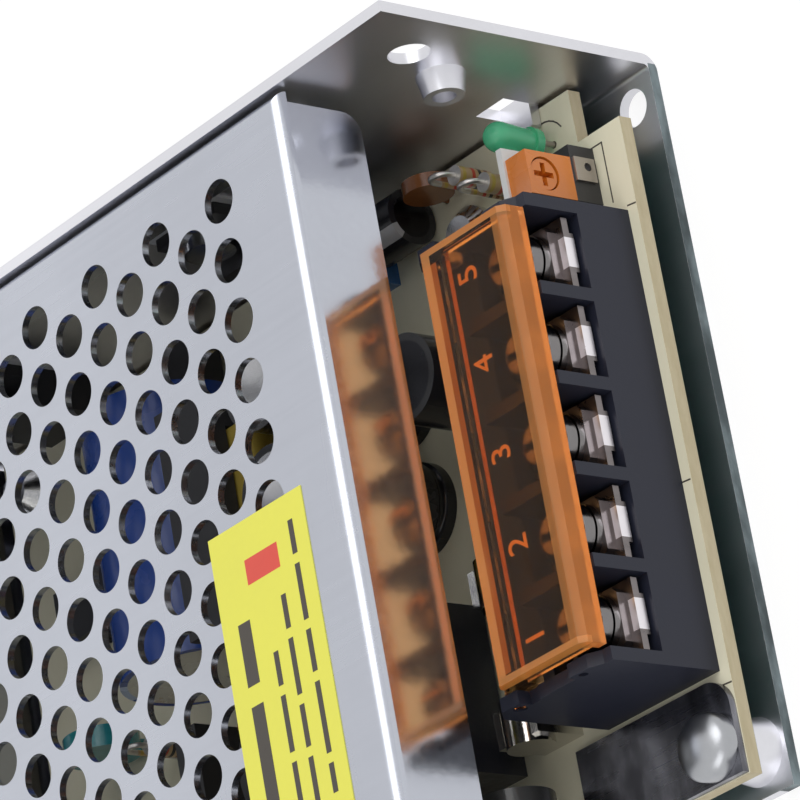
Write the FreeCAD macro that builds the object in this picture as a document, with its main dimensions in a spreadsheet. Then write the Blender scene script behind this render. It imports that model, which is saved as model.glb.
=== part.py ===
"""Enclosed switching power supply, 110 x 78 x 36 mm, with a five way terminal block.

Every piece is drawn in one corner frame: x runs from the terminal end to the far end, y from the
outer face of the case's side wall to the other side, and z up from the underside. The last step
moves each piece by half the case's length and width, so that the origin lies at the middle of
the underside. All sizes are millimetres.
"""
import FreeCAD, Part
import os
import Sketcher
from FreeCAD import Placement, Rotation, Vector

doc = FreeCAD.newDocument("switching_power_supply")
sizes = doc.addObject("Spreadsheet::Sheet", "sizes")
workings = doc.addObject("Spreadsheet::Sheet", "workings")
pieces = {}
lead_places = []

# Driving dimensions, one named cell each
DRIVING = {
    # Case as a whole
    "case_length": 110.0,
    "case_width": 78.0,
    "case_height": 36.0,
    "fit_gap": 0.3,
    # Folded chassis: base and one side wall
    "chassis_sheet": 1.2,
    "chassis_bend": 1.8,
    "base_hole_radius": 2.0,
    "base_hole_x": 3.2,
    "base_hole_y": 4.6,
    "wall_hole_radius": 2.2,
    "wall_hole_x": 6.6,
    "wall_hole_z": 27.1,
    "side_mount_x": 9.4,
    "side_mount_z": 20.8,
    "side_mount_end": 9.6,
    "extrusion_height": 2.4,
    "extrusion_radius": 2.1,
    "thread_radius": 1.25,
    "standoff_height": 3.4,
    "standoff_foot_radius": 3.6,
    "standoff_top_radius": 2.9,
    "standoff_inset_x": 3.9,
    "standoff_inset_y": 4.6,
    "far_standoff_inset": 7.0,
    "far_standoff_y": 7.0,
    "near_standoff_x": 24.0,
    "near_standoff_y": 10.5,
    "hook_x": 11.4,
    "hook_length": 4.4,
    "hook_reach": 2.4,
    "hook_window": 3.4,
    "end_tab_side": 9.0,
    "end_tab_width": 11.0,
    "end_tab_height": 11.0,
    # Folded and perforated cover
    "cover_sheet": 0.8,
    "cover_front_x": 17.3,
    "cover_bend": 1.5,
    "front_flange_height": 10.6,
    "inner_flange_height": 8.5,
    "inner_flange_start": 5.0,
    "corner_slit": 0.3,
    "flange_corner": 2.2,
    "vent_radius": 2.27,
    "vent_row_pitch": 6.5,
    "vent_column_pitch": 5.34,
    "vent_first_x": 28.3,
    "vent_first_y": 8.75,
    "vent_side_margin": 4.0,
    "vent_end_margin": 6.5,
    "foot_front_x": 0.6,
    "foot_width": 9.9,
    "foot_back": 5.5,
    "foot_corner": 3.0,
    "foot_bend": 0.6,
    "screw_radius": 1.5,
    "screw_clearance": 0.25,
    "flat_head_radius": 2.75,
    "cover_screw_x": 31.0,
    "cover_screw_end": 16.0,
    "cover_screw_drop": 5.0,
    "pan_head_radius": 3.3,
    "pan_head_height": 2.4,
    # Circuit board
    "board_thickness": 1.6,
    "board_front_x": 0.5,
    "board_end_gap": 2.8,
    "board_wall_gap": 0.4,
    "board_open_gap": 1.0,
    "notch_length": 6.4,
    "notch_width": 5.9,
    "film_thickness": 0.4,
    "film_inset": 12.0,
    # Terminal block
    "ways": 5,
    "way_pitch": 9.5,
    "barrier": 1.4,
    "block_front_x": 1.8,
    "block_depth": 16.6,
    "block_first_y": 17.3,
    "apron_height": 7.1,
    "seat_rise": 0.9,
    "pocket_depth": 10.8,
    "barrier_height": 13.8,
    "rear_height": 11.3,
    "contact_thickness": 0.8,
    "contact_front_gap": 0.7,
    "contact_width": 7.4,
    "contact_lip_width": 4.2,
    "contact_lip_drop": 1.3,
    "contact_pin_width": 2.4,
    "clamp_size": 6.4,
    "clamp_thickness": 1.0,
    "clamp_corner": 0.7,
    "washer_radius": 3.15,
    "washer_thickness": 0.9,
    "terminal_screw_radius": 1.6,
    "terminal_head_radius": 3.0,
    "terminal_head_height": 2.2,
    "terminal_screw_length": 6.6,
    "terminal_screw_x": 5.1,
    "slot_width": 0.9,
    "slot_depth": 1.0,
    # Hinged see-through flap over the screws
    "flap_front_x": 2.0,
    "flap_depth": 13.2,
    "flap_top": 17.0,
    "flap_sheet": 1.2,
    "flap_lip": 3.0,
    "flap_end_gap": 0.25,
    "flap_side_depth": 2.2,
    "flap_rib_inset": 2.4,
    "flap_rib_width": 0.9,
    "flap_rib_depth": 0.6,
    "flap_edge": 0.7,
    "hinge_x": 15.5,
    "hinge_rise": 13.9,
    "hinge_pin_radius": 0.6,
    "hinge_pin_gap": 0.15,
    "hinge_ear_radius": 1.2,
    "ear_wall": 0.5,
    "ear_front": 1.3,
    "recess_rise": 13.5,
    "stop_rise": 14.7,
    "stop_back": 5.4,
    "catch_hole_radius": 0.5,
    "catch_hole_x": 4.2,
    "flap_side": 0.6,
    # Light, trimmer and small parts near the wall
    "led_radius": 1.6,
    "led_length": 6.2,
    "led_flange": 0.3,
    "led_rim_height": 0.9,
    "led_lean": 5.0,
    "led_x": 11.4,
    "led_y": 6.2,
    "led_stand": 1.8,
    "led_lead_pitch": 2.2,
    "lead_radius": 0.3,
    "drill_clearance": 0.1,
    "lead_below": 1.8,
    "trimmer_x": 5.0,
    "trimmer_y": 10.5,
    "trimmer_width": 4.8,
    "trimmer_height": 6.0,
    "trimmer_shoulder": 1.4,
    "trimmer_depth": 3.0,
    "trimmer_lift": 3.4,
    "trimmer_plate": 0.8,
    "rotor_radius": 1.7,
    "rotor_drop": 0.5,
    "rotor_slot": 0.6,
    # Big parts on the board
    "bulk_radius": 9.0,
    "bulk_length": 30.0,
    "bulk_x": 67.2,
    "bulk_y": 13.0,
    "core_width": 7.0,
    "core_length": 25.0,
    "core_height": 20.4,
    "core_limb": 3.4,
    "bobbin_height": 3.0,
    "winding_gap": 0.3,
    "winding_bend": 2.0,
    "core_x": 51.5,
    "core_y": 20.0,
    "winding_width": 13.0,
    "output_cap_radius": 5.0,
    "output_cap_height": 20.0,
    "output_cap_x": 38.9,
    "output_cap_y": 22.8,
    "output_cap_pitch": 12.0,
    "start_cap_radius": 3.15,
    "start_cap_length": 5.8,
    "start_cap_x": 29.2,
    "start_cap_y": 6.2,
    "start_cap_rise": 0.3,
    "start_cap_lead": 1.25,
    "film_cap_length": 18.0,
    "film_cap_width": 8.0,
    "film_cap_height": 14.0,
    "film_cap_x": 31.0,
    "film_cap_y": 48.5,
    "choke_radius": 9.0,
    "choke_bore": 4.6,
    "choke_width": 9.0,
    "choke_x": 43.0,
    "choke_y": 60.5,
    "choke_wire": 1.4,
    "fuse_radius": 2.5,
    "fuse_length": 20.0,
    "fuse_cap_length": 5.0,
    "fuse_x": 25.0,
    "fuse_y": 46.0,
    "fuse_height": 4.4,
    "thermistor_radius": 4.5,
    "thermistor_thickness": 3.4,
    "thermistor_x": 28.0,
    "thermistor_side": 7.4,
    "bridge_length": 15.0,
    "bridge_width": 3.6,
    "bridge_height": 11.0,
    "bridge_x": 66.0,
    "bridge_y": 49.0,
    "disc_radius": 4.2,
    "disc_thickness": 2.4,
    "disc_lift": 1.2,
    "ceramic_x": 25.6,
    "ceramic_y": 4.0,
    "ceramic_radius": 2.7,
    "ceramic_thickness": 1.5,
    "filter_x": 36.4,
    "filter_y": 4.7,
    "filter_width": 2.5,
    "filter_length": 5.6,
    "filter_height": 7.0,
    "safety_x": 62.5,
    "safety_side": 6.0,
    "varistor_shift": -1.2,
    "varistor_y": 41.0,
    "package_width": 10.0,
    "package_height": 15.6,
    "package_body": 9.2,
    "package_thickness": 4.4,
    "package_tab": 1.3,
    "package_lift": 4.0,
    "package_leg_pitch": 2.54,
    "package_leg_radius": 0.4,
    "package_head_radius": 2.75,
    "pad_thickness": 0.3,
    "rectifier_x": 46.0,
    "transistor_end": 22.0,
    "drum_radius": 4.6,
    "drum_height": 12.0,
    "drum_x": 25.4,
    "drum_y": 27.0,
    "chip_pin_pitch": 2.54,
    "chip_pin_radius": 0.3,
    "control_chip_shift": -5.1,
    "control_chip_y": 22.0,
    "optocoupler_shift": -1.0,
    "optocoupler_y": 3.4,
    "chip_width": 6.4,
    "chip_height": 3.4,
    "resistor_radius": 1.05,
    "resistor_length": 4.4,
    "resistor_lift": 1.2,
    "resistor_bow": 1.1,
    "resistor_0_x": 15.6,
    "resistor_0_y": 8.8,
    "resistor_1_x": 19.6,
    "resistor_1_y": 6.2,
    "resistor_2_shift": -9.3,
    "resistor_2_y": 45.0,
    "resistor_3_x": 77.6,
    "resistor_3_y": 58.0,
    "label_x": 23.4,
    "label_side": 2.6,
    "label_width": 15.0,
    "label_length": 34.0,
    "label_thickness": 0.1,
}
for row, (alias, value) in enumerate(DRIVING.items(), start=1):
    sizes.set("A%d" % row, alias.replace("_", " "))
    sizes.set("B%d" % row, str(value))
    sizes.setAlias("B%d" % row, alias)

# Places and counts that follow the case, each from a clearance that is named above
FOLLOWING = {
    "side_mount_pitch": "case_length - side_mount_x - side_mount_end",
    "cover_screw_pitch": "case_length - cover_screw_x - cover_screw_end",
    "vent_rows": "floor((case_width - vent_first_y - vent_side_margin) / vent_row_pitch)",
    "vent_column_pairs":
        "floor((case_length - vent_first_x - vent_end_margin) / (2 * vent_column_pitch))",
    "end_tab_y": "case_width - end_tab_side - end_tab_width",
    "board_end_x": "case_length - board_end_gap",
    "bay_middle_x": "(bulk_x + bulk_radius + board_end_x) / 2",
    "transistor_x": "case_length - transistor_end",
    "varistor_x": "bay_middle_x + varistor_shift",
    "control_chip_x": "bay_middle_x + control_chip_shift",
    "optocoupler_x": "(rectifier_x + transistor_x) / 2 + optocoupler_shift",
    "resistor_2_x": "bay_middle_x + resistor_2_shift",
    "safety_y": "case_width - safety_side",
    "thermistor_y": "case_width - thermistor_side",
    "label_y": "case_width - label_side - label_length",
}
for row, (alias, formula) in enumerate(FOLLOWING.items(), start=len(DRIVING) + 1):
    sizes.set("A%d" % row, alias.replace("_", " "))
    sizes.set("B%d" % row, "=" + formula)
    sizes.setAlias("B%d" % row, alias)
doc.recompute()

# Heights and edges that several pieces share, as expressions
BOARD_BOTTOM = "(sizes.chassis_sheet + sizes.standoff_height)"
BOARD_TOP = "(%s + sizes.board_thickness)" % BOARD_BOTTOM
BLOCK_END_Y = "(sizes.block_first_y + sizes.ways * sizes.way_pitch + sizes.barrier)"
SEAT_Z = "(%s + sizes.apron_height + sizes.seat_rise)" % BOARD_TOP
CONTACT_TOP = "(%s + sizes.contact_thickness)" % SEAT_Z
COVER_INSIDE_Y = "(sizes.case_width - sizes.cover_sheet)"
FLAP_TOP = "(%s + sizes.flap_top)" % BOARD_TOP
HINGE_Z = "(%s + sizes.hinge_rise)" % BOARD_TOP
FAR_STANDOFF_X = "(sizes.case_length - sizes.far_standoff_inset)"
FOOT_SCREW_Y = "(sizes.case_width - sizes.standoff_inset_y)"
COVER_SCREW_Z = "(sizes.case_height - sizes.cover_screw_drop)"
PACKAGE_Y = "(sizes.chassis_sheet + sizes.pad_thickness)"
PACKAGE_Z = "(%s + sizes.package_lift)" % BOARD_TOP
TAB_HOLE_Z = "(%s + sizes.package_height - 2.8)" % PACKAGE_Z
END_TAB_X = "(sizes.case_length - sizes.cover_sheet - sizes.fit_gap - sizes.chassis_sheet)"
END_SCREW_Y = "(sizes.end_tab_y + sizes.end_tab_width / 2)"
END_SCREW_Z = "(sizes.end_tab_height - 3.4)"

AXIS_TURN = {
    "z": Rotation(),
    "x": Rotation(Vector(0, 1, 0), 90),
    "y": Rotation(Vector(1, 0, 0), -90),
}


def number(name):
    """The value of a driving dimension."""
    return float(sizes.get(name))


def bind(thing, values):
    """Tie properties of an object to expressions on the sheet."""
    for prop, expression in values.items():
        thing.setExpression(prop, str(expression))


def place(thing, at):
    """Tie an object's position to expressions."""
    for axis, expression in zip("xyz", at):
        thing.setExpression("Placement.Base." + axis, str(expression))


def box(name, at, size):
    """A block with its lowest corner at a point."""
    thing = doc.addObject("Part::Box", name)
    bind(thing, dict(zip(("Length", "Width", "Height"), size)))
    place(thing, at)
    return thing


def rod(name, at, radius, length, along="z"):
    """A round rod that starts at a point and runs along one axis."""
    thing = doc.addObject("Part::Cylinder", name)
    thing.Placement = Placement(Vector(), AXIS_TURN[along])
    bind(thing, {"Radius": radius, "Height": length})
    place(thing, at)
    return thing


def cone(name, at, first, last, length, along="z"):
    """A cone frustum that starts at a point and runs along one axis."""
    thing = doc.addObject("Part::Cone", name)
    thing.Placement = Placement(Vector(), AXIS_TURN[along])
    bind(thing, {"Radius1": first, "Radius2": last, "Height": length})
    place(thing, at)
    return thing


def join(name, shapes):
    """One solid from several that overlap, or a group of separate ones."""
    thing = doc.addObject("Part::MultiFuse", name)
    thing.Shapes = shapes
    thing.Refine = True
    return thing


def cut(name, base, tools):
    """A solid with others taken away."""
    tool = tools[0] if len(tools) == 1 else join(name + "_tools", tools)
    thing = doc.addObject("Part::Cut", name)
    thing.Base = base
    thing.Tool = tool
    thing.Refine = True
    return thing


def edges_where(shape, test):
    """Numbers of the edges whose ends and middle pass a test."""
    found = []
    for index, edge in enumerate(shape.Edges, start=1):
        points = [vertex.Point for vertex in edge.Vertexes]
        if points and all(test(point) for point in points):
            found.append(index)
    return found


def finish(label, thing):
    """Name a finished piece and move it from the corner frame to the middle of the underside."""
    carrier = thing
    if thing.TypeId != "PartDesign::Body" and not str(thing.TypeId).startswith("Part::Multi"):
        carrier = doc.addObject("Part::Compound", label)
        carrier.Links = [thing]
    carrier.Label = label
    carrier.setExpression("Placement.Base.x", "-sizes.case_length / 2")
    carrier.setExpression("Placement.Base.y", "-sizes.case_width / 2")
    pieces[label] = carrier
    return carrier


def carry(name, thing):
    """A carrier round an object that already has a place of its own."""
    carrier = doc.addObject("Part::Compound", name)
    carrier.Links = [thing]
    return carrier


def close(first, second):
    """Whether two measures are the same to a hundredth."""
    return abs(first - second) < 0.01


class Sheet:
    """A PartDesign body that is built up from sketches in the corner frame."""

    PLANES = {"xy": "XY_Plane", "xz": "XZ_Plane", "yz": "YZ_Plane"}

    def __init__(self, name):
        self.body = doc.addObject("PartDesign::Body", name + "_body")
        self.name = name
        self.count = 0

    def title(self, word):
        self.count += 1
        return "%s_%s_%d" % (self.name, word, self.count)

    def plane(self, key):
        role = self.PLANES[key]
        return [item for item in self.body.Origin.OriginFeatures if item.Role == role][0]

    def sketch(self, key, offset="0"):
        """A sketch on an origin plane, moved along the plane's own direction."""
        drawing = self.body.newObject("Sketcher::SketchObject", self.title("sketch"))
        drawing.AttachmentSupport = (self.plane(key), [""])
        drawing.MapMode = "FlatFace"
        direction = "-(%s)" % offset if key == "xz" else "(%s)" % offset
        drawing.setExpression("AttachmentOffset.Base.z", direction)
        return drawing

    def pin_point(self, drawing, geometry, corner, at):
        """Hold one sketch point by expressions on its two coordinates."""
        for axis, rule, line in ((0, "DistanceX", -2), (1, "DistanceY", -1)):
            if at[axis] == "0":
                drawing.addConstraint(Sketcher.Constraint("PointOnObject", geometry, corner, line))
                continue
            point = drawing.getPoint(geometry, corner)
            value = point.x if axis == 0 else point.y
            index = drawing.addConstraint(
                Sketcher.Constraint(rule, -1, 1, geometry, corner, value or 1.0))
            drawing.setExpression("Constraints[%d]" % index, at[axis])

    def outline(self, key, points, offset="0"):
        """A closed outline of straight runs whose corners follow the sheet."""
        drawing = self.sketch(key, offset)
        corners = []
        for pair in points:
            corners.append(Vector(measure(pair[0]), measure(pair[1]), 0))
        total = len(corners)
        for index in range(total):
            following = corners[(index + 1) % total]
            drawing.addGeometry(Part.LineSegment(corners[index], following), False)
        for index in range(total):
            after = (index + 1) % total
            drawing.addConstraint(Sketcher.Constraint("Coincident", index, 2, after, 1))
        for index, pair in enumerate(points):
            self.pin_point(drawing, index, 1, pair)
        return drawing

    def circles(self, key, spots, offset="0"):
        """Round outlines, each with its centre and radius from the sheet."""
        drawing = self.sketch(key, offset)
        for index, (across, up, radius) in enumerate(spots):
            centre = Vector(measure(across), measure(up), 0)
            drawing.addGeometry(Part.Circle(centre, Vector(0, 0, 1), measure(radius)), False)
            self.pin_point(drawing, index, 3, (across, up))
            rule = drawing.addConstraint(Sketcher.Constraint("Radius", index, measure(radius)))
            drawing.setExpression("Constraints[%d]" % rule, radius)
        return drawing

    def pad(self, drawing, length, back=False):
        feature = self.body.newObject("PartDesign::Pad", self.title("pad"))
        feature.Profile = drawing
        feature.Reversed = back
        feature.setExpression("Length", length)
        drawing.Visibility = False
        return feature

    def pocket(self, drawing, length, back=False):
        feature = self.body.newObject("PartDesign::Pocket", self.title("pocket"))
        feature.Profile = drawing
        feature.Reversed = back
        feature.setExpression("Length", length)
        return feature

    def primitive(self, kind, at, values, turn=Rotation()):
        """An added or cut primitive with its place and sizes from the sheet."""
        feature = self.body.newObject("PartDesign::" + kind, self.title(kind.lower()))
        feature.AttachmentSupport = (self.plane("xy"), [""])
        feature.MapMode = "FlatFace"
        feature.AttachmentOffset = Placement(Vector(), turn)
        for axis, expression in zip("xyz", at):
            feature.setExpression("AttachmentOffset.Base." + axis, str(expression))
        bind(feature, values)
        return feature

    def block(self, at, size, add=True):
        kind = "AdditiveBox" if add else "SubtractiveBox"
        return self.primitive(kind, at, dict(zip(("Length", "Width", "Height"), size)))

    def round_tool(self, at, radius, length, along="z", add=False):
        kind = "AdditiveCylinder" if add else "SubtractiveCylinder"
        return self.primitive(kind, at, {"Radius": radius, "Height": length}, AXIS_TURN[along])

    def cone_tool(self, at, first, last, length, along="z", add=False):
        kind = "AdditiveCone" if add else "SubtractiveCone"
        values = {"Radius1": first, "Radius2": last, "Height": length}
        return self.primitive(kind, at, values, AXIS_TURN[along])

    def hollow(self, wall, test):
        """Leave a wall all round, open at the face that passes a test."""
        doc.recompute()
        base = self.body.Tip
        faces = []
        for index, face in enumerate(base.Shape.Faces, start=1):
            if all(test(vertex.Point) for vertex in face.Vertexes):
                faces.append("Face%d" % index)
        feature = self.body.newObject("PartDesign::Thickness", self.title("wall"))
        feature.Base = (base, faces)
        feature.setExpression("Value", wall)
        feature.Reversed = True
        return feature

    def pattern_step(self, name, role, pitch, number_of):
        """A row along one axis, with its pitch and its count from the sheet."""
        step = self.body.newObject("PartDesign::LinearPattern", name)
        axis = [item for item in self.body.Origin.OriginFeatures if item.Role == role][0]
        step.Direction = (axis, [""])
        step.setExpression("Length", "(%s - 1) * (%s)" % (number_of, pitch))
        step.setExpression("Occurrences", number_of)
        return step

    def row(self, name, features, pitch, number_of):
        """Repeat features across, as the last step of the body so far."""
        step = self.pattern_step(name, "Y_Axis", pitch, number_of)
        step.Originals = features
        self.body.Tip = step
        return step

    def fillet(self, radius, test):
        """Round the edges of the present tip that pass a test."""
        doc.recompute()
        base = self.body.Tip
        names = ["Edge%d" % index for index in edges_where(base.Shape, test)]
        feature = self.body.newObject("PartDesign::Fillet", self.title("fillet"))
        feature.Base = (base, names)
        feature.setExpression("Radius", radius)
        return feature


def measure(expression):
    """The number that an expression gives now, worked out in a cell of its own."""
    workings.set("A1", "=" + str(expression))
    workings.recompute()
    return float(workings.get("A1"))


def make_chassis():
    """Base and side wall, folded from one sheet, with pressed standoffs and drawn threads."""
    sheet = "sizes.chassis_sheet"
    work = Sheet("chassis")
    profile = work.outline("yz", [
        ("0", "0"), ("sizes.case_width", "0"), ("sizes.case_width", sheet), (sheet, sheet),
        (sheet, "sizes.case_height"), ("0", "sizes.case_height")])
    work.pad(profile, "sizes.case_length")
    work.fillet("sizes.chassis_bend", lambda p: close(p.y, 0) and close(p.z, 0))
    inner = number("chassis_sheet")
    work.fillet("(sizes.chassis_bend - sizes.chassis_sheet)",
                lambda p: close(p.y, inner) and close(p.z, inner))
    # The base steps in under the cover's side wall and its far plate
    inside = "(%s - sizes.fit_gap)" % COVER_INSIDE_Y
    front = "(sizes.cover_front_x - sizes.fit_gap)"
    work.block((front, inside, "-1"), ("sizes.case_length", "5", sheet + " + 2"), add=False)
    far = "(sizes.case_length - sizes.cover_sheet - sizes.fit_gap)"
    work.block((far, "sizes.chassis_sheet + sizes.fit_gap", "-1"),
               ("5", "sizes.case_width", sheet + " + 2"), add=False)
    # Upturned tab at the far end, for the cover's end screw
    work.block((END_TAB_X, "sizes.end_tab_y", "0"),
               (sheet, "sizes.end_tab_width", "sizes.end_tab_height"))
    work.round_tool((END_TAB_X + " - 1", END_SCREW_Y, END_SCREW_Z), "sizes.thread_radius",
                    "4", along="x")
    # Pressed standoffs, hollow below, with a drilled top
    wall = "(sizes.standoff_top_radius - 1.3)"
    for across, along in standoff_places():
        work.cone_tool((across, along, "0"), "sizes.standoff_foot_radius",
                       "sizes.standoff_top_radius", BOARD_BOTTOM, add=True)
        work.cone_tool((across, along, "-0.01"), "(sizes.standoff_foot_radius - 1.3)", wall,
                       "(%s - 1)" % BOARD_BOTTOM)
        work.round_tool((across, along, "-1"), "sizes.thread_radius", "10")
    # Holes through the base and the wall
    work.round_tool(("sizes.base_hole_x", "sizes.base_hole_y", "-1"), "sizes.base_hole_radius",
                    "5")
    work.round_tool(("sizes.wall_hole_x", "-1", "sizes.wall_hole_z"), "sizes.wall_hole_radius",
                    "5", along="y")
    # Drawn and tapped holes for fixing the case by its side
    for spot in ("sizes.side_mount_x", "(sizes.side_mount_x + sizes.side_mount_pitch)"):
        work.cone_tool((spot, "sizes.chassis_sheet - 0.2", "sizes.side_mount_z"),
                       "(sizes.extrusion_radius + 0.5)", "sizes.extrusion_radius",
                       "(sizes.extrusion_height + 0.2)", along="y", add=True)
        work.round_tool((spot, "-1", "sizes.side_mount_z"), "sizes.thread_radius", "9",
                        along="y")
    # Countersunk holes for the cover's flat headed screws
    for spot in cover_screw_places():
        work.cone_tool((spot, "-0.01", COVER_SCREW_Z), "(sizes.flat_head_radius + 0.1)",
                       "(sizes.screw_radius + sizes.screw_clearance)",
                       "(sizes.chassis_sheet + 0.02)", along="y")
    # Tapped holes for the two power packages
    for spot in ("sizes.rectifier_x", "sizes.transistor_x"):
        work.round_tool((spot, "-1", TAB_HOLE_Z), "sizes.thread_radius", "5", along="y")
    # Lanced hook that holds the board's edge down, and the window that it was bent from
    hook_z = "(%s + 0.1)" % BOARD_TOP
    work.block(("sizes.hook_x", "0.6", hook_z), ("sizes.hook_length",
               "(sizes.chassis_sheet - 0.6 + sizes.hook_reach)", sheet))
    work.block(("sizes.hook_x", "-1", hook_z + " + " + sheet), ("sizes.hook_length", "4",
               "sizes.hook_window"), add=False)
    return finish("chassis", work.body)


def standoff_places():
    """Where the board stands on the base."""
    return [
        ("sizes.standoff_inset_x", FOOT_SCREW_Y),
        ("sizes.near_standoff_x", "sizes.near_standoff_y"),
        (FAR_STANDOFF_X, "sizes.far_standoff_y"),
        (FAR_STANDOFF_X, "(sizes.case_width - sizes.far_standoff_y)"),
    ]


def cover_screw_places():
    """Where the cover's inner flange is screwed to the side wall."""
    return ["sizes.cover_screw_x", "(sizes.cover_screw_x + sizes.cover_screw_pitch)"]


def make_cover():
    """Top, side, far plate, front flange and foot, folded from one perforated sheet."""
    sheet = "sizes.cover_sheet"
    height = "sizes.case_height"
    width = "sizes.case_width"
    front = "sizes.cover_front_x"
    far = "(sizes.case_length - %s)" % sheet
    near = "(sizes.chassis_sheet + sizes.fit_gap)"
    slit = "sizes.corner_slit"
    work = Sheet("cover")
    work.block((front, near, "sizes.fit_gap"),
               ("(sizes.case_length - %s)" % front, "(%s - %s)" % (width, near),
                "(%s - sizes.fit_gap)" % height))
    top_z = number("case_height")
    work.fillet("sizes.cover_bend", lambda p: close(p.z, top_z))
    work.hollow(sheet, lambda p: close(p.z, number("fit_gap")))
    # The front stays open below its flange, and the near side below the inner flange
    flange_low = "(%s - sizes.front_flange_height)" % height
    inner_low = "(%s - sizes.inner_flange_height)" % height
    bend_low = "(%s - sizes.cover_bend)" % height
    flange_near = "(%s + sizes.cover_sheet + sizes.fit_gap)" % near
    work.block(("(%s - 1)" % front, "0", "-1"),
               ("(1 + sizes.cover_bend)", COVER_INSIDE_Y, "(%s + 1)" % flange_low), add=False)
    work.block(("(%s - 1)" % front, "0", "-1"),
               ("(%s + 1 - %s - sizes.cover_bend + %s)" % (far, front, sheet), flange_near,
                "(%s + 1)" % inner_low), add=False)
    # Relief slits let each corner be folded
    work.block(("(%s - 1)" % front, "0", "-1"),
               ("(1 + sizes.inner_flange_start)", flange_near, "(%s + 1)" % bend_low), add=False)
    work.block(("(%s - sizes.inner_flange_start)" % far, "0", "-1"),
               ("(sizes.inner_flange_start + 0.01)", flange_near, "(%s + 1)" % bend_low),
               add=False)
    work.block(("(%s - 1)" % front, "(%s - %s)" % (COVER_INSIDE_Y, slit), "-1"),
               ("(1 + sizes.cover_bend)", slit, "(%s + 1)" % bend_low), add=False)
    work.block(("(%s - %s)" % (far, slit), "(%s - 0.01)" % COVER_INSIDE_Y, "-1"),
               (slit, "5", "(%s + 1)" % bend_low), add=False)
    corner_y = measure(flange_near)
    corner_z = measure(flange_low)
    front_x = number("cover_front_x")
    work.fillet("sizes.flange_corner", lambda p: close(p.y, corner_y) and close(p.z, corner_z)
                and p.x < front_x + 2)
    # Foot that lies on the board beside the terminal block, bent in from the side
    foot_y = "(%s - sizes.fit_gap - sizes.foot_width)" % COVER_INSIDE_Y
    work.block(("(%s - 1)" % front, "(%s - 0.01)" % COVER_INSIDE_Y, "-1"),
               ("(sizes.foot_back + 1)", "5", "(%s + 1)" % BOARD_TOP), add=False)
    work.block(("sizes.foot_front_x", foot_y, BOARD_TOP),
               ("(%s + sizes.foot_back - sizes.foot_front_x)" % front, "sizes.foot_width", sheet))
    work.block((front, foot_y, BOARD_TOP), ("sizes.foot_back", "(%s - %s)" % (width, foot_y),
                                            sheet))
    foot_near = measure(foot_y)
    foot_front = number("foot_front_x")
    work.fillet("sizes.foot_corner",
                lambda p: close(p.x, foot_front) and close(p.y, foot_near))
    side_y = number("case_width")
    foot_low = measure(BOARD_TOP)
    work.fillet("sizes.foot_bend", lambda p: close(p.y, side_y) and close(p.z, foot_low))
    work.round_tool(("sizes.standoff_inset_x", FOOT_SCREW_Y, BOARD_TOP + " - 1"),
                    "(sizes.screw_radius + sizes.screw_clearance)", "4")
    # Threads in the inner flange and a countersunk hole in the far plate
    for spot in cover_screw_places():
        work.round_tool((spot, "0", COVER_SCREW_Z), "sizes.thread_radius", "4", along="y")
    work.cone_tool(("(%s - 0.01)" % far, END_SCREW_Y, END_SCREW_Z),
                   "(sizes.screw_radius + sizes.screw_clearance)",
                   "(sizes.flat_head_radius + 0.1)", "(%s + 0.02)" % sheet, along="x")
    # Vent holes, two to a cell, repeated along and across
    low = "(%s - %s - 1)" % (height, sheet)
    pair = work.circles("xy", [
        ("sizes.vent_first_x", "sizes.vent_first_y", "sizes.vent_radius"),
        ("(sizes.vent_first_x + sizes.vent_column_pitch)",
         "(sizes.vent_first_y + sizes.vent_row_pitch / 2)", "sizes.vent_radius")], offset=low)
    holes = work.pocket(pair, "4", back=True)
    grid = work.body.newObject("PartDesign::MultiTransform", "vent_grid")
    grid.Originals = [holes]
    steps = []
    for role, pitch, number_of in (
            ("X_Axis", "(2 * sizes.vent_column_pitch)", "sizes.vent_column_pairs"),
            ("Y_Axis", "sizes.vent_row_pitch", "sizes.vent_rows")):
        steps.append(work.pattern_step("vents_" + role[0].lower(), role, pitch, number_of))
    grid.Transformations = steps
    work.body.Tip = grid
    return finish("cover", work.body)


def make_insulation():
    """Film between the base and the board, with cut-outs round the standoffs."""
    inset = "sizes.film_inset"
    film = box("film_blank", (inset, "4", "sizes.chassis_sheet"),
               ("(sizes.case_length - %s - 6)" % inset, "(sizes.case_width - 9)",
                "sizes.film_thickness"))
    tools = []
    for index, (across, along) in enumerate(standoff_places()[1:]):
        tools.append(rod("film_hole_%d" % index, (across, along, "0"),
                         "(sizes.standoff_foot_radius + 0.4)", "4"))
    return finish("insulation_sheet", cut("film", film, tools))


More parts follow.
